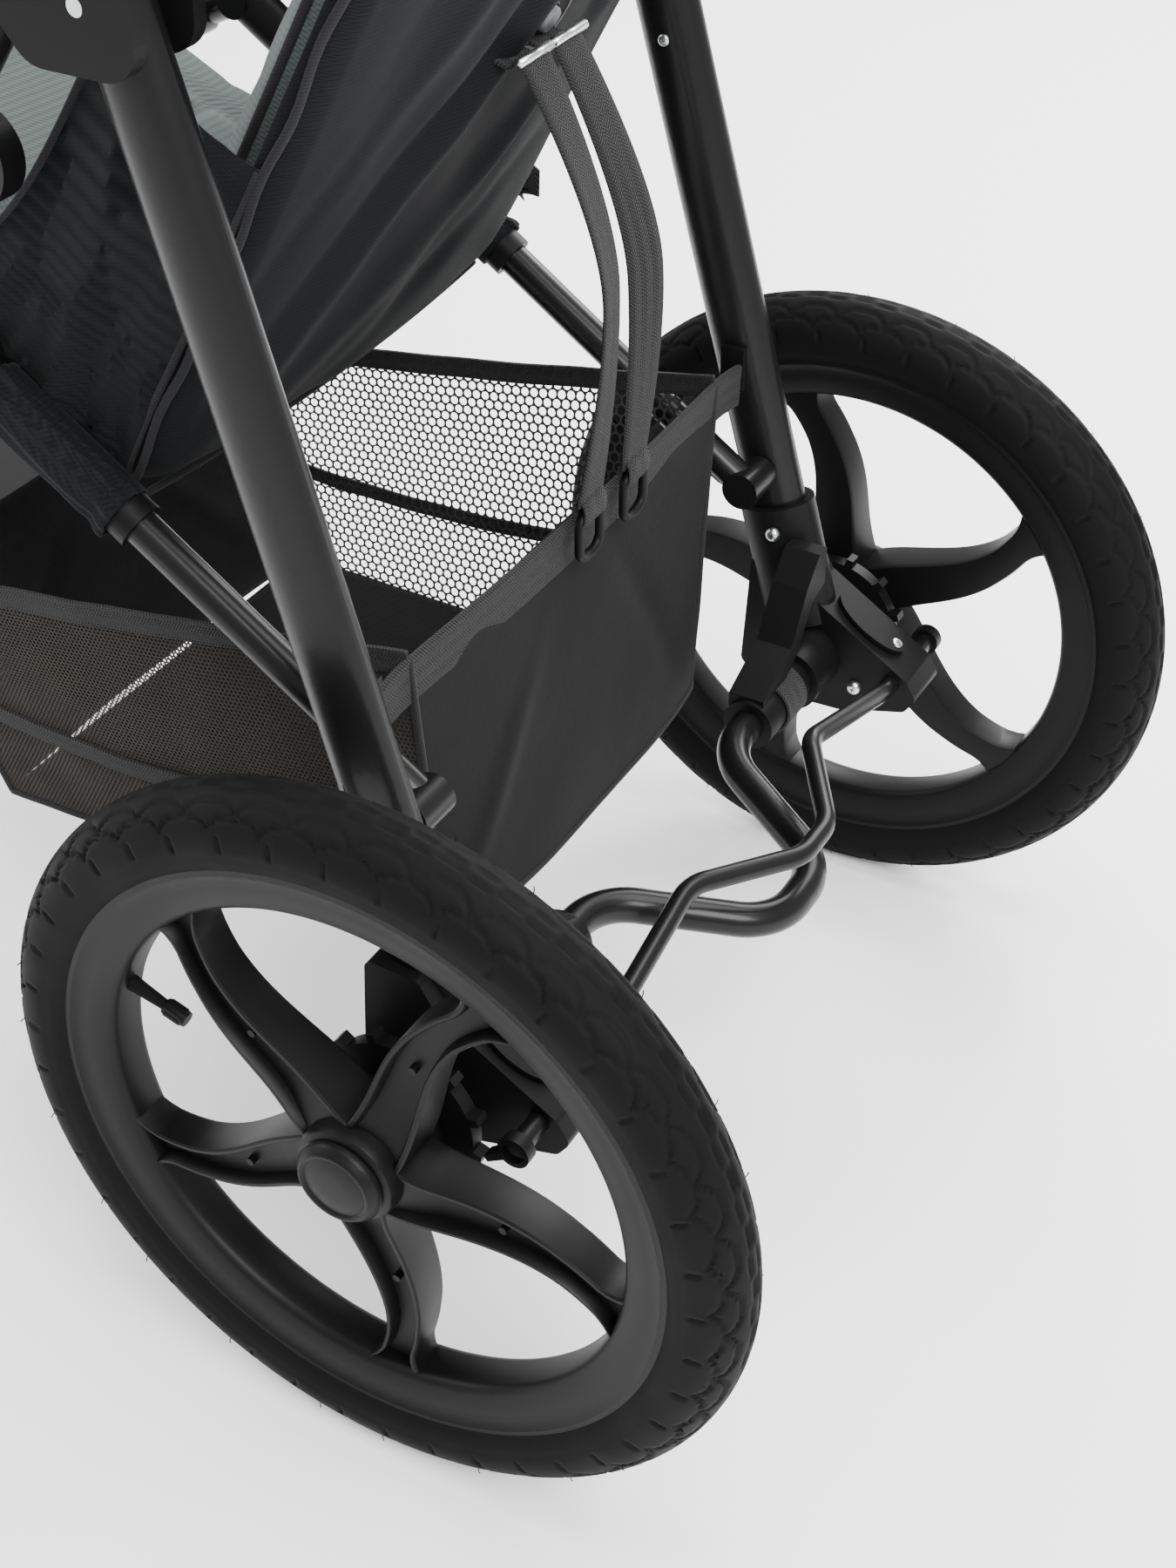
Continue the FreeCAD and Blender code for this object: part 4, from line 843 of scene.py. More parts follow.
def puffed(pad, cap_reach=0.006):
    """Lets a pad swell under a little inner pressure, as stuffing would make it."""
    rest = np.array([v.co for v in pad.data.vertices], float)
    cloth = pad.modifiers.new("stuffing", "CLOTH")
    cloth.settings.quality = 5
    cloth.settings.mass = 0.3
    cloth.settings.tension_stiffness = 60
    cloth.settings.compression_stiffness = 60
    cloth.settings.bending_stiffness = 2.0
    cloth.settings.use_pressure = True
    cloth.settings.uniform_pressure_force = 4.0
    cloth.settings.effector_weights.gravity = 0
    cloth.point_cache.frame_start, cloth.point_cache.frame_end = 1, 14
    scene = bpy.context.scene
    for step in range(1, 15):
        scene.frame_set(step)
    graph = bpy.context.evaluated_depsgraph_get()
    swollen = bpy.data.meshes.new_from_object(pad.evaluated_get(graph))
    moved = np.array([v.co for v in swollen.vertices], float)
    bpy.data.meshes.remove(swollen)
    shift = moved - rest
    reach = np.linalg.norm(shift, axis=1, keepdims=True)
    shift *= np.minimum(1.0, cap_reach / np.maximum(reach, 1e-9))
    pad.modifiers.remove(cloth)
    pad.data.vertices.foreach_set("co", (rest + shift).astype(np.float32).ravel())
    pad.data.update()
    scene.frame_set(1)
    return pad


def make_seat_pads():
    """Quilted pads on the backrest and the seat base, with piped edges."""
    back = pad_block("backrest_pad", lambda x, d, h: on_back(x, d + 4, -21 - h), 288, 458,
                     31, "pad")
    puffed(back)
    with_modifier(back, "SUBSURF", levels=1, render_levels=1)
    settled(back)
    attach(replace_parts(back, "backrest_cover"), "backrest")
    low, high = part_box("seat_base_cover")
    front, rear = Vector((0, low.y + 0.006, high.z - 0.018)), Vector((0, high.y - 0.008,
                                                                     low.z + 0.018))
    slope = (rear - front).normalized()
    upward = Vector((0, -slope.z, slope.y))

    def on_seat(x, distance, height):
        sag = -5 * math.sin(math.pi * min(1, max(0, distance / 225)))
        place = front + slope * (distance / 1000) + upward * ((height + sag) / 1000)
        return Vector((x / 1000, place.y, place.z))

    seat = pad_block("seat_pad", on_seat, 288, (rear - front).length * 1000 - 2, 27, "pad", 0.7)
    puffed(seat)
    with_modifier(seat, "SUBSURF", levels=1, render_levels=1)
    settled(seat)
    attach(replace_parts(seat, "seat_base_cover"), "front_frame")
    edges = []
    for side in (-1, 1):
        edges.append(pipe("pad_piping", [on_back(side * (142 - 2 * math.sin(math.pi * i / 40)),
                                                 10 + 446 * i / 40, -20) for i in range(41)],
                          0.0024, "piping", 8))
        edges.append(stitched([on_back(side * 136, 14 + 438 * i / 40, -22.4)
                               for i in range(41)], 0.0045))
    trim = joined("backrest_pad_piping", edges)
    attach(trim, "backrest")


def make_wing(side, node):
    """A side panel of the seat, gathered at its foot into a cuff round the strut."""
    outline_front = [at(0, -180, 655), at(0, -232, 572), at(0, -285, 535), at(0, -326, 516)]
    outline_rear = [at(0, -104, 612), at(0, -150, 530), at(0, -186, 470), at(0, -200, 440)]
    fronts, rears = eased(outline_front, 16), eased(outline_rear, 16)
    rows, count = [], 70
    for i in range(count + 1):
        t = i / count
        front = fronts[round(t * (len(fronts) - 1))]
        rear = rears[round(t * (len(rears) - 1))]
        row = []
        for k in range(121):
            s = k / 120
            place = front.lerp(rear, s)
            gather = t ** 2.2
            ripple = 1.7 * gather * math.sin(s * 34 + 2.0 * math.sin(t * 5))
            ripple += 0.7 * gather * math.sin(s * 57 + 1.7)
            drape = 3.0 * math.exp(-((s - 0.32 - 0.35 * t) / 0.09) ** 2)
            drape -= 2.6 * math.exp(-((s - 0.62 - 0.2 * t) / 0.07) ** 2)
            drape += 2.4 * math.exp(-((s - 0.86 + 0.1 * t) / 0.05) ** 2)
            bulge = 3.4 * math.sin(math.pi * s) * (1 - 0.4 * t)
            x = 157.5 + bulge + ripple + drape * (0.4 + 0.6 * t)
            x += 1.4 * noise.noise(Vector((s * 3, t * 3.5, side * 2.0)))
            row.append(Vector((side * x / 1000, place.y, place.z)))
        rows.append(row)
    panel = sheet_between(f"wing_panel_{node[-5:].strip('_')}", rows, "shell", 0.0015)
    axis = (STRUT_FOOT - STRUT_HEAD).normalized()
    centre = Vector((side * 0.170, STRUT_HEAD.y, STRUT_HEAD.z))
    lift = Vector((0, -axis.z, axis.y))
    cuff_points, rings, around_count = [], 34, 96
    for i in range(rings + 1):
        t = i / rings
        reach = 0.118 + 0.085 * t
        flare = 15.2 + 1.6 * math.exp(-((t - 0.02) / 0.08) ** 2) + 1.1 * math.exp(
            -((t - 0.97) / 0.05) ** 2) - 1.2 * math.exp(-((t - 0.88) / 0.05) ** 2)
        for k in range(around_count):
            angle = math.tau * k / around_count
            fold = 0.75 * math.sin(angle * 11 + 3 * t) + 0.5 * math.sin(angle * 5 - 7 * t)
            r = (flare + fold) / 1000
            if side * math.cos(angle) < 0:
                r = min(r, 0.0142)
            cuff_points.append(centre + axis * reach + Vector((math.cos(angle) * r, 0, 0))
                               + lift * math.sin(angle) * r)
    cuff = piece("cuff", cuff_points, grid_faces(rings + 1, around_count, False, True), "shell")
    with_modifier(outward(cuff), "SOLIDIFY", thickness=0.0014, offset=-1)
    settled(cuff)
    seam = pipe("seam", [fronts[i] + Vector((side * 0.158, 0, 0)) for i in range(len(fronts))],
                0.0019, "piping", 8)
    rear_seam = pipe("seam", [p + Vector((side * 0.1575, 0, 0)) for p in rears], 0.0019,
                     "piping", 8)
    wing = joined(f"seat_side_{'left' if side > 0 else 'right'}", [panel, cuff, seam,
                                                                  rear_seam])
    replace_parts(wing, node)
    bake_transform(wing)


# ------------------------------------------------------------------ straps
STRAP_FALL = [(-63.0, 617.0), (-24.0, 549.0), (-20.0, 475.0), (-30.0, 404.0)]
STRAPS = {"left": (2.0, 11.0), "right": (-27.0, -35.0)}


def strap_line(side):
    """The way a recline strap hangs, drifting sideways as it falls."""
    top_x, end_x = STRAPS[side]
    return eased([at(top_x + (end_x - top_x) * (k / 3) ** 2, back, up)
                  for k, (back, up) in enumerate(STRAP_FALL)], 14)


def make_recline_straps():
    """Two limp tapes that hang from the lock, each ending in a sewn loop round a ring."""
    tapes, rings = {}, []
    for side, (top_x, end_x) in STRAPS.items():
        line = strap_line(side)
        turn = -0.22 if side == "left" else 0.26
        tape = strip(f"recline_tape_{side}", line, 0.025, 0.0016, "webbing",
                     Vector((1, 0, 0)), twist=lambda t, turn=turn: turn * math.sin(math.pi * t))
        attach(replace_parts(tape, f"recline_strap_{side}"), "backrest")
        tapes[side] = tape
        foot = line[-1]
        hang = at(end_x, -30, 386)
        loop = []
        for k in range(25):
            angle = math.pi * (0.5 + 2 * k / 24)
            loop.append(foot + Vector((0, 0.0034 * math.cos(angle),
                                       -0.004 + 0.0075 * math.sin(angle))))
        sewn = strip("loop", loop, 0.022, 0.0014, "webbing", Vector((1, 0, 0)))
        stitches = [stitched([foot + Vector((x, 0.0012, row)) for x in (-0.0095, 0, 0.0095)],
                             0.0023) for row in (0.003, 0.006, 0.014, 0.017)]
        oval = []
        for k in range(48):
            angle = math.tau * k / 48
            long = 0.0105 * math.copysign(1, math.sin(angle)) if abs(math.sin(angle)) > 0.02 \
                else 0.0
            oval.append(hang + Vector((0.0105 * math.cos(angle), 0.0006 * math.sin(angle),
                                       0.0075 * math.sin(angle) + long * 0.6)))
        rings.append(pipe("ring", oval, 0.0026, "moulding", 12, cyclic=True))
        rings += [sewn] + stitches
    hardware = joined("strap_hardware", rings)
    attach(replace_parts(hardware, "strap_rings"), "backrest")
    for side, tape in tapes.items():
        line = strap_line(side)


def make_recline_lock():
    """A round slip lock with a ribbed rim, tape bars, and a steel clip above it."""
    centre = on_back(-25, 223, 0)

    def ring_at(radius, across, count=64, lobes=0.0):
        return [centre + BEHIND * (across / 1000)
                + (Vector((math.cos(math.tau * k / count), 0, 0))
                   + UP_BACK * math.sin(math.tau * k / count)) * (
                    (radius + lobes * (0.5 + 0.5 * math.cos(16 * math.tau * k / count))) / 1000)
                for k in range(count)]

    levels = [(20, 4.4, 0), (23.0, 5.2, 0.9), (23.0, 15.6, 0.9), (21, 17.6, 0.4),
              (17, 18.3, 0), (15.5, 17.3, 0), (9.5, 17.2, 0), (8.0, 18.0, 0), (7.6, 17.0, 0),
              (7.6, 10.2, 0), (0.1, 10.2, 0)]
    points = []
    for radius, across, lobes in levels:
        points += ring_at(radius, across, 96, lobes)
    faces = grid_faces(len(levels), 96, False, True)
    faces.append(tuple(range(96)))
    body = crisp(outward(piece("lock", points, faces, "moulding"), 1e-5), 40)
    bars = []
    for side, (top_x, end_x) in STRAPS.items():
        place = at(top_x, *STRAP_FALL[0])
        bars.append(pipe("bar", [place + Vector((x, 0, 0.003)) for x in (-0.0155, 0.0155)],
                         0.0024, "zinc", 12))
        bars.append(strip("anchor_tape", [on_back(top_x, 212, 17), on_back(top_x, 214, 25),
                                          place + Vector((0, -0.002, 0.003))],
                          0.024, 0.002, "webbing", Vector((1, 0, 0))))
    clip = pipe("clip", [on_back(-52, 238, 9), on_back(-50, 250, 13), on_back(-38, 258, 13),
                         on_back(-25, 258, 12), on_back(-20, 248, 11)], 0.0018, "zinc", 10)
    lock = joined("recline_lock", [body, clip] + bars)
    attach(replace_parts(lock, "recline_buckle"), "backrest")
    button_points = []
    for radius, across in ((6.9, 12.6), (6.9, 19.6), (6.0, 20.8), (0.1, 21.0)):
        button_points += ring_at(radius, across, 48)
    faces = grid_faces(4, 48, False, True)
    faces.append(tuple(range(48)))
    button = crisp(outward(piece("lock_button", button_points, faces, "button"), 1e-5), 40)
    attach(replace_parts(button, "recline_button"), "recline_button")


def make_harness():
    """Shoulder, lap and crotch webbing with padded shoulder sleeves, all meeting at the chest
    buckle.
    """
    parts = []
    for x in (-49, 49):
        route = [on_back(x, 392, -34), on_back(x * 0.98, 380, -39.5), on_back(x * 0.9, 300, -41),
                 on_back(x * 0.75, 200, -42), on_back(x * 0.62, 128, -43)]
        parts.append(strip("shoulder", eased(route, 10), 0.025, 0.0016, "webbing",
                           Vector((1, 0, 0))))
        sleeve = pad_block("sleeve", lambda u, v, h, x=x: on_back(x * 0.9 + u, 222 + v,
                                                                  -41.5 - h),
                           44, 120, 11, "pad", 0.0)
        parts.append(sleeve)
        lap = [on_back(x * 2.7, 62, -36), on_back(x * 2.2, 80, -44), on_back(x * 1.3, 112, -46)]
        parts.append(strip("lap", eased(lap, 8), 0.022, 0.0016, "webbing", UP_BACK))
    crotch = [on_back(0, 30, -40), on_back(0, 60, -45), on_back(0, 102, -46)]
    parts.append(strip("crotch", eased(crotch, 8), 0.028, 0.0016, "webbing",
                       Vector((1, 0, 0))))
    harness = joined("harness_webbing", parts)
    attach(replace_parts(harness, "harness_straps"), "backrest")
    low, high = (100, 130)
    body = pad_block("buckle_body", lambda u, v, h: on_back(u, low + v, -45.4 - h), 128,
                     high - low, 13.6, "moulding", 0.0)
    bezel = pipe("bezel", [on_back(11.5 * math.cos(math.tau * k / 40),
                                   115 + 11.5 * math.sin(math.tau * k / 40), -52.2)
                           for k in range(40)], 0.0008, "moulding", 8, cyclic=True)
    buckle = joined("chest_buckle", [body, bezel])
    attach(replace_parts(buckle, "harness_buckle"), "backrest")
    button = pad_block("chest_button", lambda u, v, h: on_back(u, 107 + v, -50.6 - h), 15.6,
                       15.6, 7.8, "button", 0.0)
    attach(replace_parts(button, "buckle_button"), "buckle_button")


# ------------------------------------------------------------------ basket
def rim_height(back):
    """The basket's rim falls towards the front."""
    return 388 + (back + 42) * (54 / 334)


def basket_point(x_share, back, up):
    """A place on the basket, its width easing in towards the floor."""
    depth = max(0.0, min(1.0, (rim_height(back) - up) / 186))
    half = 156 - 20 * depth
    return at(x_share * half, back, up)


def basket_side(side):
    """One side panel, from the rim down to the floor, sagging between its tapes."""
    rows = []
    for i in range(41):
        t = i / 40
        row = []
        for k in range(91):
            s = k / 90
            back = -44 - s * (330 - 46 * t)
            up = rim_height(back) * (1 - t) + 198 * t
            sag = 4 * math.sin(math.pi * s) * math.sin(math.pi * t)
            up += -3.5 * math.sin(math.pi * s) * (1 - t)
            ripple = 1.2 * noise.noise(Vector((s * 9, t * 5, side)))
            place = basket_point(side, back, up)
            row.append(place + Vector((side * (sag + ripple) / 1000, 0, 0)))
        rows.append(row)
    return rows


def make_basket():
    """Webbing rim, plain rear and front panels, net sides and floor, bound with tape."""
    sides = {side: basket_side(side) for side in (1, -1)}
    parts = []
    for side, finish in ((1, "fine_net"), (-1, "net")):
        parts.append(sheet_between("net_panel", sides[side], finish, 0.0006))
        for line in ([row[0] for row in sides[side]], [row[-1] for row in sides[side]]):
            parts.append(pipe("bound_edge", line, 0.0022, "piping", 8))
        top = sides[side][0]
        parts.append(strip("top_tape", top, 0.013, 0.0022, "webbing", Vector((0, 0, 1))))
        lower = [sides[side][22][k] + Vector((side * 0.0012, 0, -0.012 * math.sin(
            math.pi * k / 90))) for k in range(91)]
        parts.append(strip("belt_tape", lower, 0.010, 0.0018, "webbing", Vector((0, 0, 1))))
        parts.append(pipe("floor_edge", sides[side][-1], 0.0024, "piping", 8))
    for which, column in (("rear", 0), ("front", -1)):
        near = [row[column] for row in sides[1]]
        far = [row[column] for row in sides[-1]]
        rows = []
        for i, (a, b) in enumerate(zip(near, far)):
            t = i / 40
            row = []
            for k in range(81):
                s = k / 80
                away = 1 if which == "rear" else -1
                bulge = (7.5 * math.sin(math.pi * s) ** 0.6 * t ** 1.2
                         + 1.4 * noise.noise(Vector((s * 5, t * 4, 1.5))))
                bulge += crease(s * 312, (1 - t) * 180, 66, 74, 0.75, 9, 60, 2.6)
                bulge += crease(s * 312, (1 - t) * 180, 236, 88, -0.65, 10, 70, -2.4)
                row.append(a.lerp(b, s) + Vector((0, away * bulge / 1000, 0)))
            rows.append(row)
        parts.append(sheet_between(f"{which}_panel", rows, "panel", 0.0013))
        if which == "rear":
            parts.append(pipe("rear_hem", rows[-1], 0.0022, "piping", 8))
    floor_rows = []
    for k in range(61):
        left, right = sides[1][-1][round(k * 1.5)], sides[-1][-1][round(k * 1.5)]
        floor_rows.append([left.lerp(right, s / 60) + Vector((0, 0, -0.004 * math.sin(
            math.pi * s / 60) * math.sin(math.pi * k / 60) + 0.0015)) for s in range(61)])
    parts.append(sheet_between("floor_panel", floor_rows, "panel", 0.0016))
    band = [at(184, -43, 376), at(172, -45, 377), at(150, -45, 377), at(90, -43.5, 376),
            at(0, -43, 375), at(-90, -43.5, 376), at(-150, -45, 377), at(-172, -45, 377),
            at(-184, -43, 376)]
    parts.append(strip("rim_band", eased(band, 12), 0.026, 0.0034, "webbing",
                       Vector((0, 0.05, 1))))
    for x in (-119, 119):
        low_end, high_end = at(x, -372, 334), at(x, -401, 508)
        loop = [low_end + (high_end - low_end) * (k / 10) for k in range(11)]
        parts.append(strip("hanger", loop, 0.022, 0.0018, "webbing", Vector((1, 0, 0))))
        ring = [at(x, -408 + 11.5 * math.cos(a), 518 + 11.5 * math.sin(a))
                for a in (math.tau * k / 24 - math.pi / 2 for k in range(25))]
        parts.append(strip("hanger_loop", ring, 0.022, 0.0018, "webbing", Vector((1, 0, 0))))
    basket = joined("storage_basket", parts)
    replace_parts(basket, "basket", "basket_tabs")
    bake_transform(basket)


# ------------------------------------------------------------------ canopy
def make_canopy():
    """One curved hood over three bows, dipping a little between them, with side panels."""
    leans = [60, 104, 150]
    half, reach, bend = 175.4, 314.2, 92.0
    rows = []
    for i in range(91):
        lean = 58.4 + (151.6 - 58.4) * i / 90
        nearest = min(abs(lean - bow) for bow in leans)
        dip = 5.5 * (1 - math.exp(-(nearest / 9) ** 2))
        section = []
        for side in (1, -1):
            run = []
            for k in range(13):
                run.append((half, 108 + (reach - bend - 108) * k / 12))
            for k in range(1, 15):
                angle = math.pi / 2 * k / 14
                run.append((half - bend + bend * math.cos(angle),
                            reach - bend + bend * math.sin(angle)))
            if side > 0:
                section += [(x, r) for x, r in run]
                steps = 20
                section += [((half - bend) * (1 - 2 * k / steps), reach)
                            for k in range(1, steps)]
            else:
                section += [(-x, r) for x, r in reversed(run)]
        row = []
        for x, r in section:
            share = max(0.0, (r - 108) / (reach - 108))
            ripple = 1.3 * noise.noise(Vector((x / 60, r / 60, lean / 9)))
            sink = dip * share + ripple * (1 - math.exp(-(nearest / 4) ** 2))
            inward = (0.35 if abs(x) > half - 12 else 0.9)
            row.append(around(PIVOT, x * (1 - 0.006 * dip * (1 - inward)), r - sink * inward,
                              lean))
        rows.append(row)
    hood = sheet_between("hood", rows, "shell", 0.0014)
    beads = []
    for row in (rows[0], rows[-1]):
        beads.append(pipe("hem", row, 0.0023, "piping", 8))
    for bow in leans[1:2]:
        index = min(range(91), key=lambda i: abs(58.4 + 93.2 * i / 90 - bow))
        beads.append(strip("bow_tape", [p + (p - Vector((0, PIVOT.y, PIVOT.z))).normalized()
                                        * 0.0008 for p in rows[index]], 0.016, 0.0012,
                           "piping", [Vector((0, -(p - PIVOT).z, (p - PIVOT).y)).normalized()
                                      for p in rows[index]]))
    for edge in (0, -1):
        beads.append(pipe("side_hem", [row[edge] for row in rows], 0.002, "piping", 8))
    for row, inner in ((rows[0], rows[2]), (rows[-1], rows[-3])):
        beads.append(stitched([b + (b - Vector((b.x * 0.6, PIVOT.y, PIVOT.z))).normalized()
                               * 0.0009 for a, b in zip(row, inner)], 0.0045))
    canopy = joined("canopy_hood", [hood] + beads)
    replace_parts(canopy, "canopy_fabric")
    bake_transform(canopy)


# ------------------------------------------------------------------ grips and small parts
def make_grip():
    """Foam round the push bar, with turned-in ends and moulded end collars, and foam round the
    bumper bar.
    """
    centre = middle("handle_grip")
    half = 127.5
    profile = [(13.2, -half), (15.0, -half), (16.6, 1.8 - half), (17, 5 - half), (17, half - 5),
               (16.6, half - 1.8), (15.0, half), (13.2, half)]
    grip = crisp(lathe("grip", profile, centre, "foam", 72), 45)
    collars = []
    for side in (-1, 1):
        collars.append(lathe("collar", [(13.1, side * 128), (16.8, side * 128),
                                        (17.2, side * 127), (17.2, side * 119),
                                        (16.8, side * 118), (13.1, side * 118)], centre,
                             "moulding", 72))
    grip = joined("push_grip", [grip] + collars)
    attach(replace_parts(grip, "handle_grip"), "handle")
    centre = middle("bumper_foam")
    roll = lathe("bumper_roll", [(8.2, -100), (13.4, -100), (14.8, -98), (15, -94), (15, 94),
                                 (14.8, 98), (13.4, 100), (8.2, 100)], centre, "foam", 64)
    crisp(roll, 45)
    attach(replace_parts(roll, "bumper_foam"), "bumper_bar")


def cross_head(name, place, inwards, radius=4.2, height=2.6):
    """A pan-head screw with a cross recess, its head standing off along inwards."""
    steady = Vector((0, 1, 0)) if abs(inwards.x) > 0.5 else Vector((1, 0, 0))
    other = inwards.cross(steady)
    levels = [(1.0, 0.0), (1.0, 0.35), (0.88, 0.75), (0.6, 0.95), (0.42, 1.0)]
    points, count = [], 40
    for share, lift in levels:
        for k in range(count):
            angle = math.tau * k / count
            points.append(place + (steady * math.cos(angle) + other * math.sin(angle))
                          * (radius * share / 1000) + inwards * (height * lift / 1000))
    for k in range(count):
        angle = math.tau * k / count
        arm = abs(math.cos(2 * angle)) ** 3
        size = radius * (0.1 + 0.3 * arm)
        points.append(place + (steady * math.cos(angle) + other * math.sin(angle))
                      * (size / 1000) + inwards * (height * 0.98 / 1000))
    for k in range(count):
        angle = math.tau * k / count
        size = radius * (0.05 + 0.2 * abs(math.cos(2 * angle)) ** 3)
        points.append(place + (steady * math.cos(angle) + other * math.sin(angle))
                      * (size / 1000) + inwards * (height * 0.35 / 1000))
    faces = grid_faces(7, count, False, True)
    faces.append(tuple(6 * count + k for k in range(count)))
    faces.append(tuple(range(count)))
    return crisp(outward(piece(name, points, faces, "zinc")), 40)


def make_screws():
    """The bright screws of the leg sockets and the leg tubes."""
    seats = [((0, -15.4, 287.7), 177.7, -1), ((0, -5, 252), 177.7, -1), ((0, 40, 194), 184.7, -1)]
    heads = []
    for side in (1, -1):
        for (_, back, up), x, facing in seats:
            heads.append(cross_head("screw", at(side * (x + 4.0), back, up),
                                    Vector((side * facing, 0, 0)), 4.2, 4.2))
    screws = joined("socket_screws", heads)
    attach(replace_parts(screws, "housing_screws"), "rear_frame")
    more = []
    for side in (1, -1):
        more.append(cross_head("screw", at(side * 187.0, -96.5, 562), Vector((-side, 0, 0)),
                               3.2, 1.6))
    legs = joined("leg_screws", more)
    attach(legs, "rear_frame")
    covers = []
    for side in (1, -1):
        covers.append(cross_head("screw", at(side * 206.5, 57, 219.8),
                                 Vector((0, 0.527, 0.85)), 3.4, 2.4))
    caps = joined("cover_screws", covers)
    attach(caps, "rear_frame")


def make_sleeve_webbing():
    """The short tape loop sewn round each axle sleeve."""
    loops = []
    for side in (1, -1):
        centre = at(side * 137, 9, 207)
        ring = [centre + Vector((0, 0.0167 * math.cos(a), 0.0167 * math.sin(a)))
                for a in (math.tau * k / 40 for k in range(41))]
        loops.append(strip("sleeve_tape", ring, 0.025, 0.0018, "webbing", Vector((1, 0, 0))))
    tape = joined("axle_sleeve_tapes", loops)
    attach(tape, "rear_frame")


PAINTED = {
    "tube": ("front_tube_left front_tube_right seat_crossbar handle_tube leg_left leg_right "
             "axle_tube strut_tube_left strut_tube_right brake_bar footrest bumper_bar"),
    "moulding": ("knuckle_outer_plates knuckle_inner_plates swivel_housing lock_sleeve_left "
                 "lock_sleeve_right housing_left housing_right housing_covers "
                 "strut_sleeve_left strut_sleeve_right front_fork swivel_knob brake_pawls "
                 "rear_left_brake_ring rear_right_brake_ring basket_clips"),
    "zinc": "knuckle_bolts axle_bolts front_axle",
    "rim": "canopy_rear_bow canopy_middle_bow canopy_front_bow",
}


# ------------------------------------------------------------------ stage
def make_stage(settings):
    """A pale seamless floor, soft lights and the camera."""
    floor_rows = []
    for i in range(40):
        back = 4.5 - 0.25 * i
        floor_rows.append([Vector((-5 + 0.5 * k, AXLE.y + back, 0.0)) for k in range(21)])
    floor = piece("floor", [p for row in floor_rows for p in row], grid_faces(40, 21), "floor")
    world = bpy.data.worlds.new("studio")
    world.use_nodes = True
    world.node_tree.nodes["Background"].inputs[0].default_value = (1, 1, 1, 1)
    world.node_tree.nodes["Background"].inputs[1].default_value = settings.fill
    bpy.context.scene.world = world
    lamps = (("key", (1.5, 2.3, 2.6), 1.6, settings.key), ("rim", (-2.4, 0.2, 1.7), 1.5, 110),
             ("front", (0.6, -2.6, 2.2), 1.6, 80), ("top", (-0.3, 0.6, 3.0), 2.0, 130))
    for name, place, size, power in lamps:
        light = bpy.data.lights.new(name, "AREA")
        light.shape, light.size, light.energy = "SQUARE", size, power
        holder = bpy.data.objects.new(name, light)
        holder.location = place
        aim = Vector((0, 0.2, 0.3)) - holder.location
        holder.rotation_euler = aim.to_track_quat("-Z", "Y").to_euler()
        bpy.context.collection.objects.link(holder)
    camera = bpy.data.cameras.new("camera")
    camera.lens, camera.sensor_width = settings.lens, 36.0
    holder = bpy.data.objects.new("camera", camera)
    azimuth, elevation = settings.azimuth, settings.elevation
    back = Vector((math.sin(azimuth) * math.cos(elevation),
                   -math.cos(azimuth) * math.cos(elevation), math.sin(elevation)))
    holder.location = settings.eye
    holder.rotation_euler = back.to_track_quat("Z", "Y").to_euler()
    bpy.context.collection.objects.link(holder)
    bpy.context.scene.camera = holder


# ------------------------------------------------------------------ add-on
class StageSettings(bpy.types.PropertyGroup):
    """Light and camera."""

    eye: bpy.props.FloatVectorProperty(
        name="Eye", description="Where the camera stands", subtype="XYZ", unit="LENGTH",
        default=(0.88717, 0.78830, 0.98930))
    azimuth: bpy.props.FloatProperty(
        name="Azimuth", description="Camera heading round the stroller", subtype="ANGLE",
        default=math.radians(119.318))
    elevation: bpy.props.FloatProperty(
        name="Elevation", description="How far the camera looks down", subtype="ANGLE",
        default=math.radians(37.198))
    lens: bpy.props.FloatProperty(
        name="Lens", description="Focal length in millimetres", default=53.38)
    fill: bpy.props.FloatProperty(
        name="Fill", description="Strength of the even white surround", default=1.15)
    key: bpy.props.FloatProperty(
        name="Key", description="Power of the key light", subtype="POWER", default=190.0)


class WheelSettings(bpy.types.PropertyGroup):
    """Sizes of the wheels, in millimetres."""

    rear_radius: bpy.props.FloatProperty(
        name="Rear radius", description="Outside radius of a rear tyre", default=200.0)
    rear_section: bpy.props.FloatProperty(
        name="Rear section", description="Half the width of a rear tyre", default=22.0)
    front_radius: bpy.props.FloatProperty(
        name="Front radius", description="Outside radius of the front tyre", default=152.5)
    front_section: bpy.props.FloatProperty(
        name="Front section", description="Half the width of the front tyre", default=21.0)


class STROLLER_OT_stage(bpy.types.Operator):
    """Sets the floor, the lights and the camera"""

    bl_idname = "stroller.stage"
    bl_label = "Stage"

    def execute(self, context):
        make_stage(context.scene.stroller_stage)
        return {"FINISHED"}


class STROLLER_OT_straps(bpy.types.Operator):
    """Hangs the recline straps and their rings from the lock"""

    bl_idname = "stroller.straps"
    bl_label = "Recline straps"

    def execute(self, context):
        make_recline_straps()
        make_recline_lock()
        return {"FINISHED"}


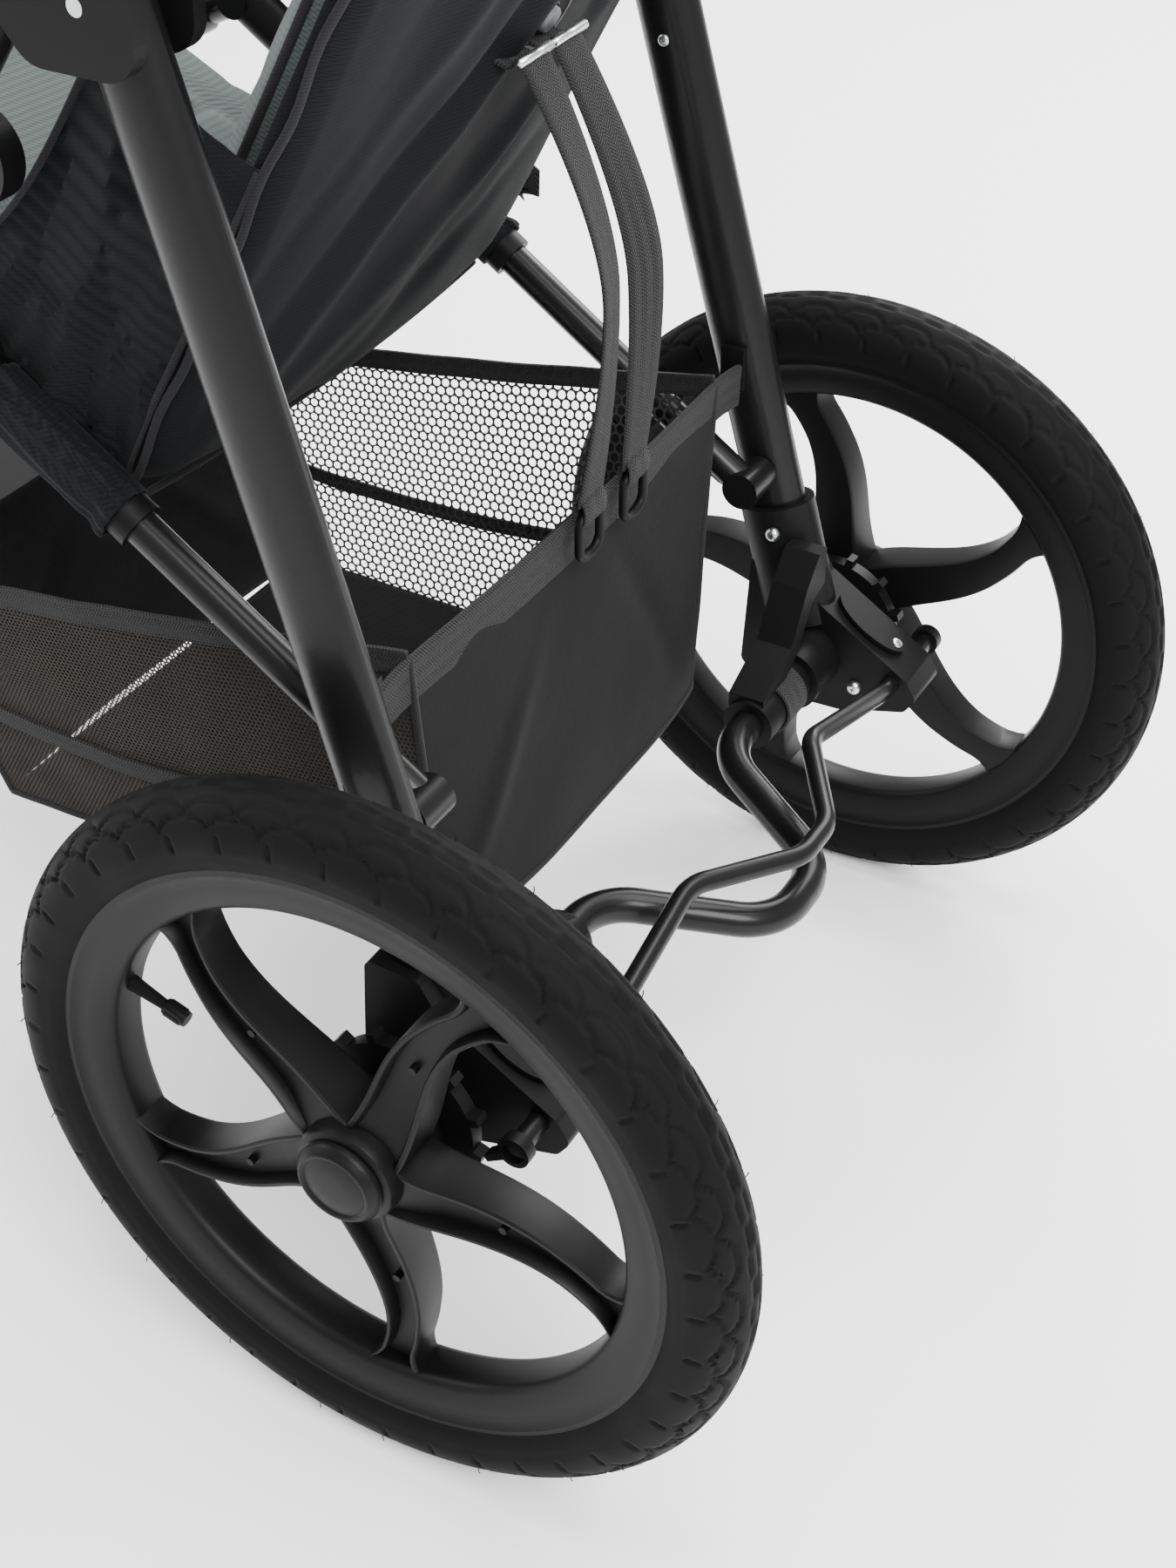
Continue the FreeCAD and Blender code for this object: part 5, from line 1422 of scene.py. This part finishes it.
class STROLLER_OT_wheels(bpy.types.Operator):
    """Moulds the rims and caps and treads the tyres"""

    bl_idname = "stroller.wheels"
    bl_label = "Wheels"

    def execute(self, context):
        sizes = context.scene.stroller_wheels
        for side, outer in (("left", 1), ("right", -1)):
            body = f"rear_wheel_{side}"
            make_tyre(f"rear_tyre_{side}", f"rear_{side}_tyre", sizes.rear_radius,
                      sizes.rear_section, 166, body)
            make_rim(f"rear_wheel_{side}_moulding", f"rear_{side}_rim", body, outer, 166, 140,
                     17, 27, 24, math.radians(54 if outer > 0 else 40))
            make_hub_cap(f"hub_cap_{side}", f"rear_{side}_hub_cap", body, outer)
        make_tyre("front_tyre_treaded", "front_tyre", sizes.front_radius, sizes.front_section,
                  119, "front_wheel")
        make_rim("front_wheel_moulding", "front_rim", "front_wheel", 1, 119, 98, 15, 19, 22,
                 math.radians(20))
        return {"FINISHED"}


class STROLLER_OT_seat(bpy.types.Operator):
    """Sews the seat shell, its pads and its side panels"""

    bl_idname = "stroller.seat"
    bl_label = "Seat"

    def execute(self, context):
        make_shell()
        make_seat_pads()
        make_wing(1, "seat_wing_left")
        make_wing(-1, "seat_wing_right")
        return {"FINISHED"}


class STROLLER_OT_harness(bpy.types.Operator):
    """Makes the harness and its buckle"""

    bl_idname = "stroller.harness"
    bl_label = "Harness"

    def execute(self, context):
        make_harness()
        return {"FINISHED"}


class STROLLER_OT_basket(bpy.types.Operator):
    """Sews the net basket and its rim band"""

    bl_idname = "stroller.basket"
    bl_label = "Basket"

    def execute(self, context):
        make_basket()
        return {"FINISHED"}


class STROLLER_OT_canopy(bpy.types.Operator):
    """Stretches the hood over its bows"""

    bl_idname = "stroller.canopy"
    bl_label = "Canopy"

    def execute(self, context):
        make_canopy()
        return {"FINISHED"}


class STROLLER_OT_trim(bpy.types.Operator):
    """Fits grips, screws and tapes, and finishes the frame"""

    bl_idname = "stroller.trim"
    bl_label = "Frame and trim"

    def execute(self, context):
        make_grip()
        make_screws()
        make_sleeve_webbing()
        for finish, names in PAINTED.items():
            for node in names.split():
                paint(node, finish)
        return {"FINISHED"}


class STROLLER_PT_panel(bpy.types.Panel):
    """Lists the pieces of the stroller"""

    bl_idname = "STROLLER_PT_panel"
    bl_label = "Stroller"
    bl_space_type = "VIEW_3D"
    bl_region_type = "UI"
    bl_category = "Stroller"

    def draw(self, context):
        for operator in OPERATORS:
            self.layout.operator(operator.bl_idname)
        for group in (context.scene.stroller_stage, context.scene.stroller_wheels):
            for name in group.bl_rna.properties.keys():
                if name not in {"rna_type", "name"}:
                    self.layout.prop(group, name)


OPERATORS = (STROLLER_OT_stage, STROLLER_OT_straps, STROLLER_OT_wheels, STROLLER_OT_seat,
             STROLLER_OT_harness, STROLLER_OT_basket, STROLLER_OT_canopy, STROLLER_OT_trim)
CLASSES = (StageSettings, WheelSettings, STROLLER_PT_panel) + OPERATORS


def register():
    for made in CLASSES:
        bpy.utils.register_class(made)
    bpy.types.Scene.stroller_stage = bpy.props.PointerProperty(type=StageSettings)
    bpy.types.Scene.stroller_wheels = bpy.props.PointerProperty(type=WheelSettings)


def unregister():
    del bpy.types.Scene.stroller_stage
    del bpy.types.Scene.stroller_wheels
    for made in reversed(CLASSES):
        bpy.utils.unregister_class(made)


def main():
    register()
    bpy.ops.stroller.stage()
    bpy.ops.stroller.straps()
    bpy.ops.stroller.wheels()
    bpy.ops.stroller.seat()
    bpy.ops.stroller.harness()
    bpy.ops.stroller.basket()
    bpy.ops.stroller.canopy()
    bpy.ops.stroller.trim()


if __name__ == "__main__":
    main()
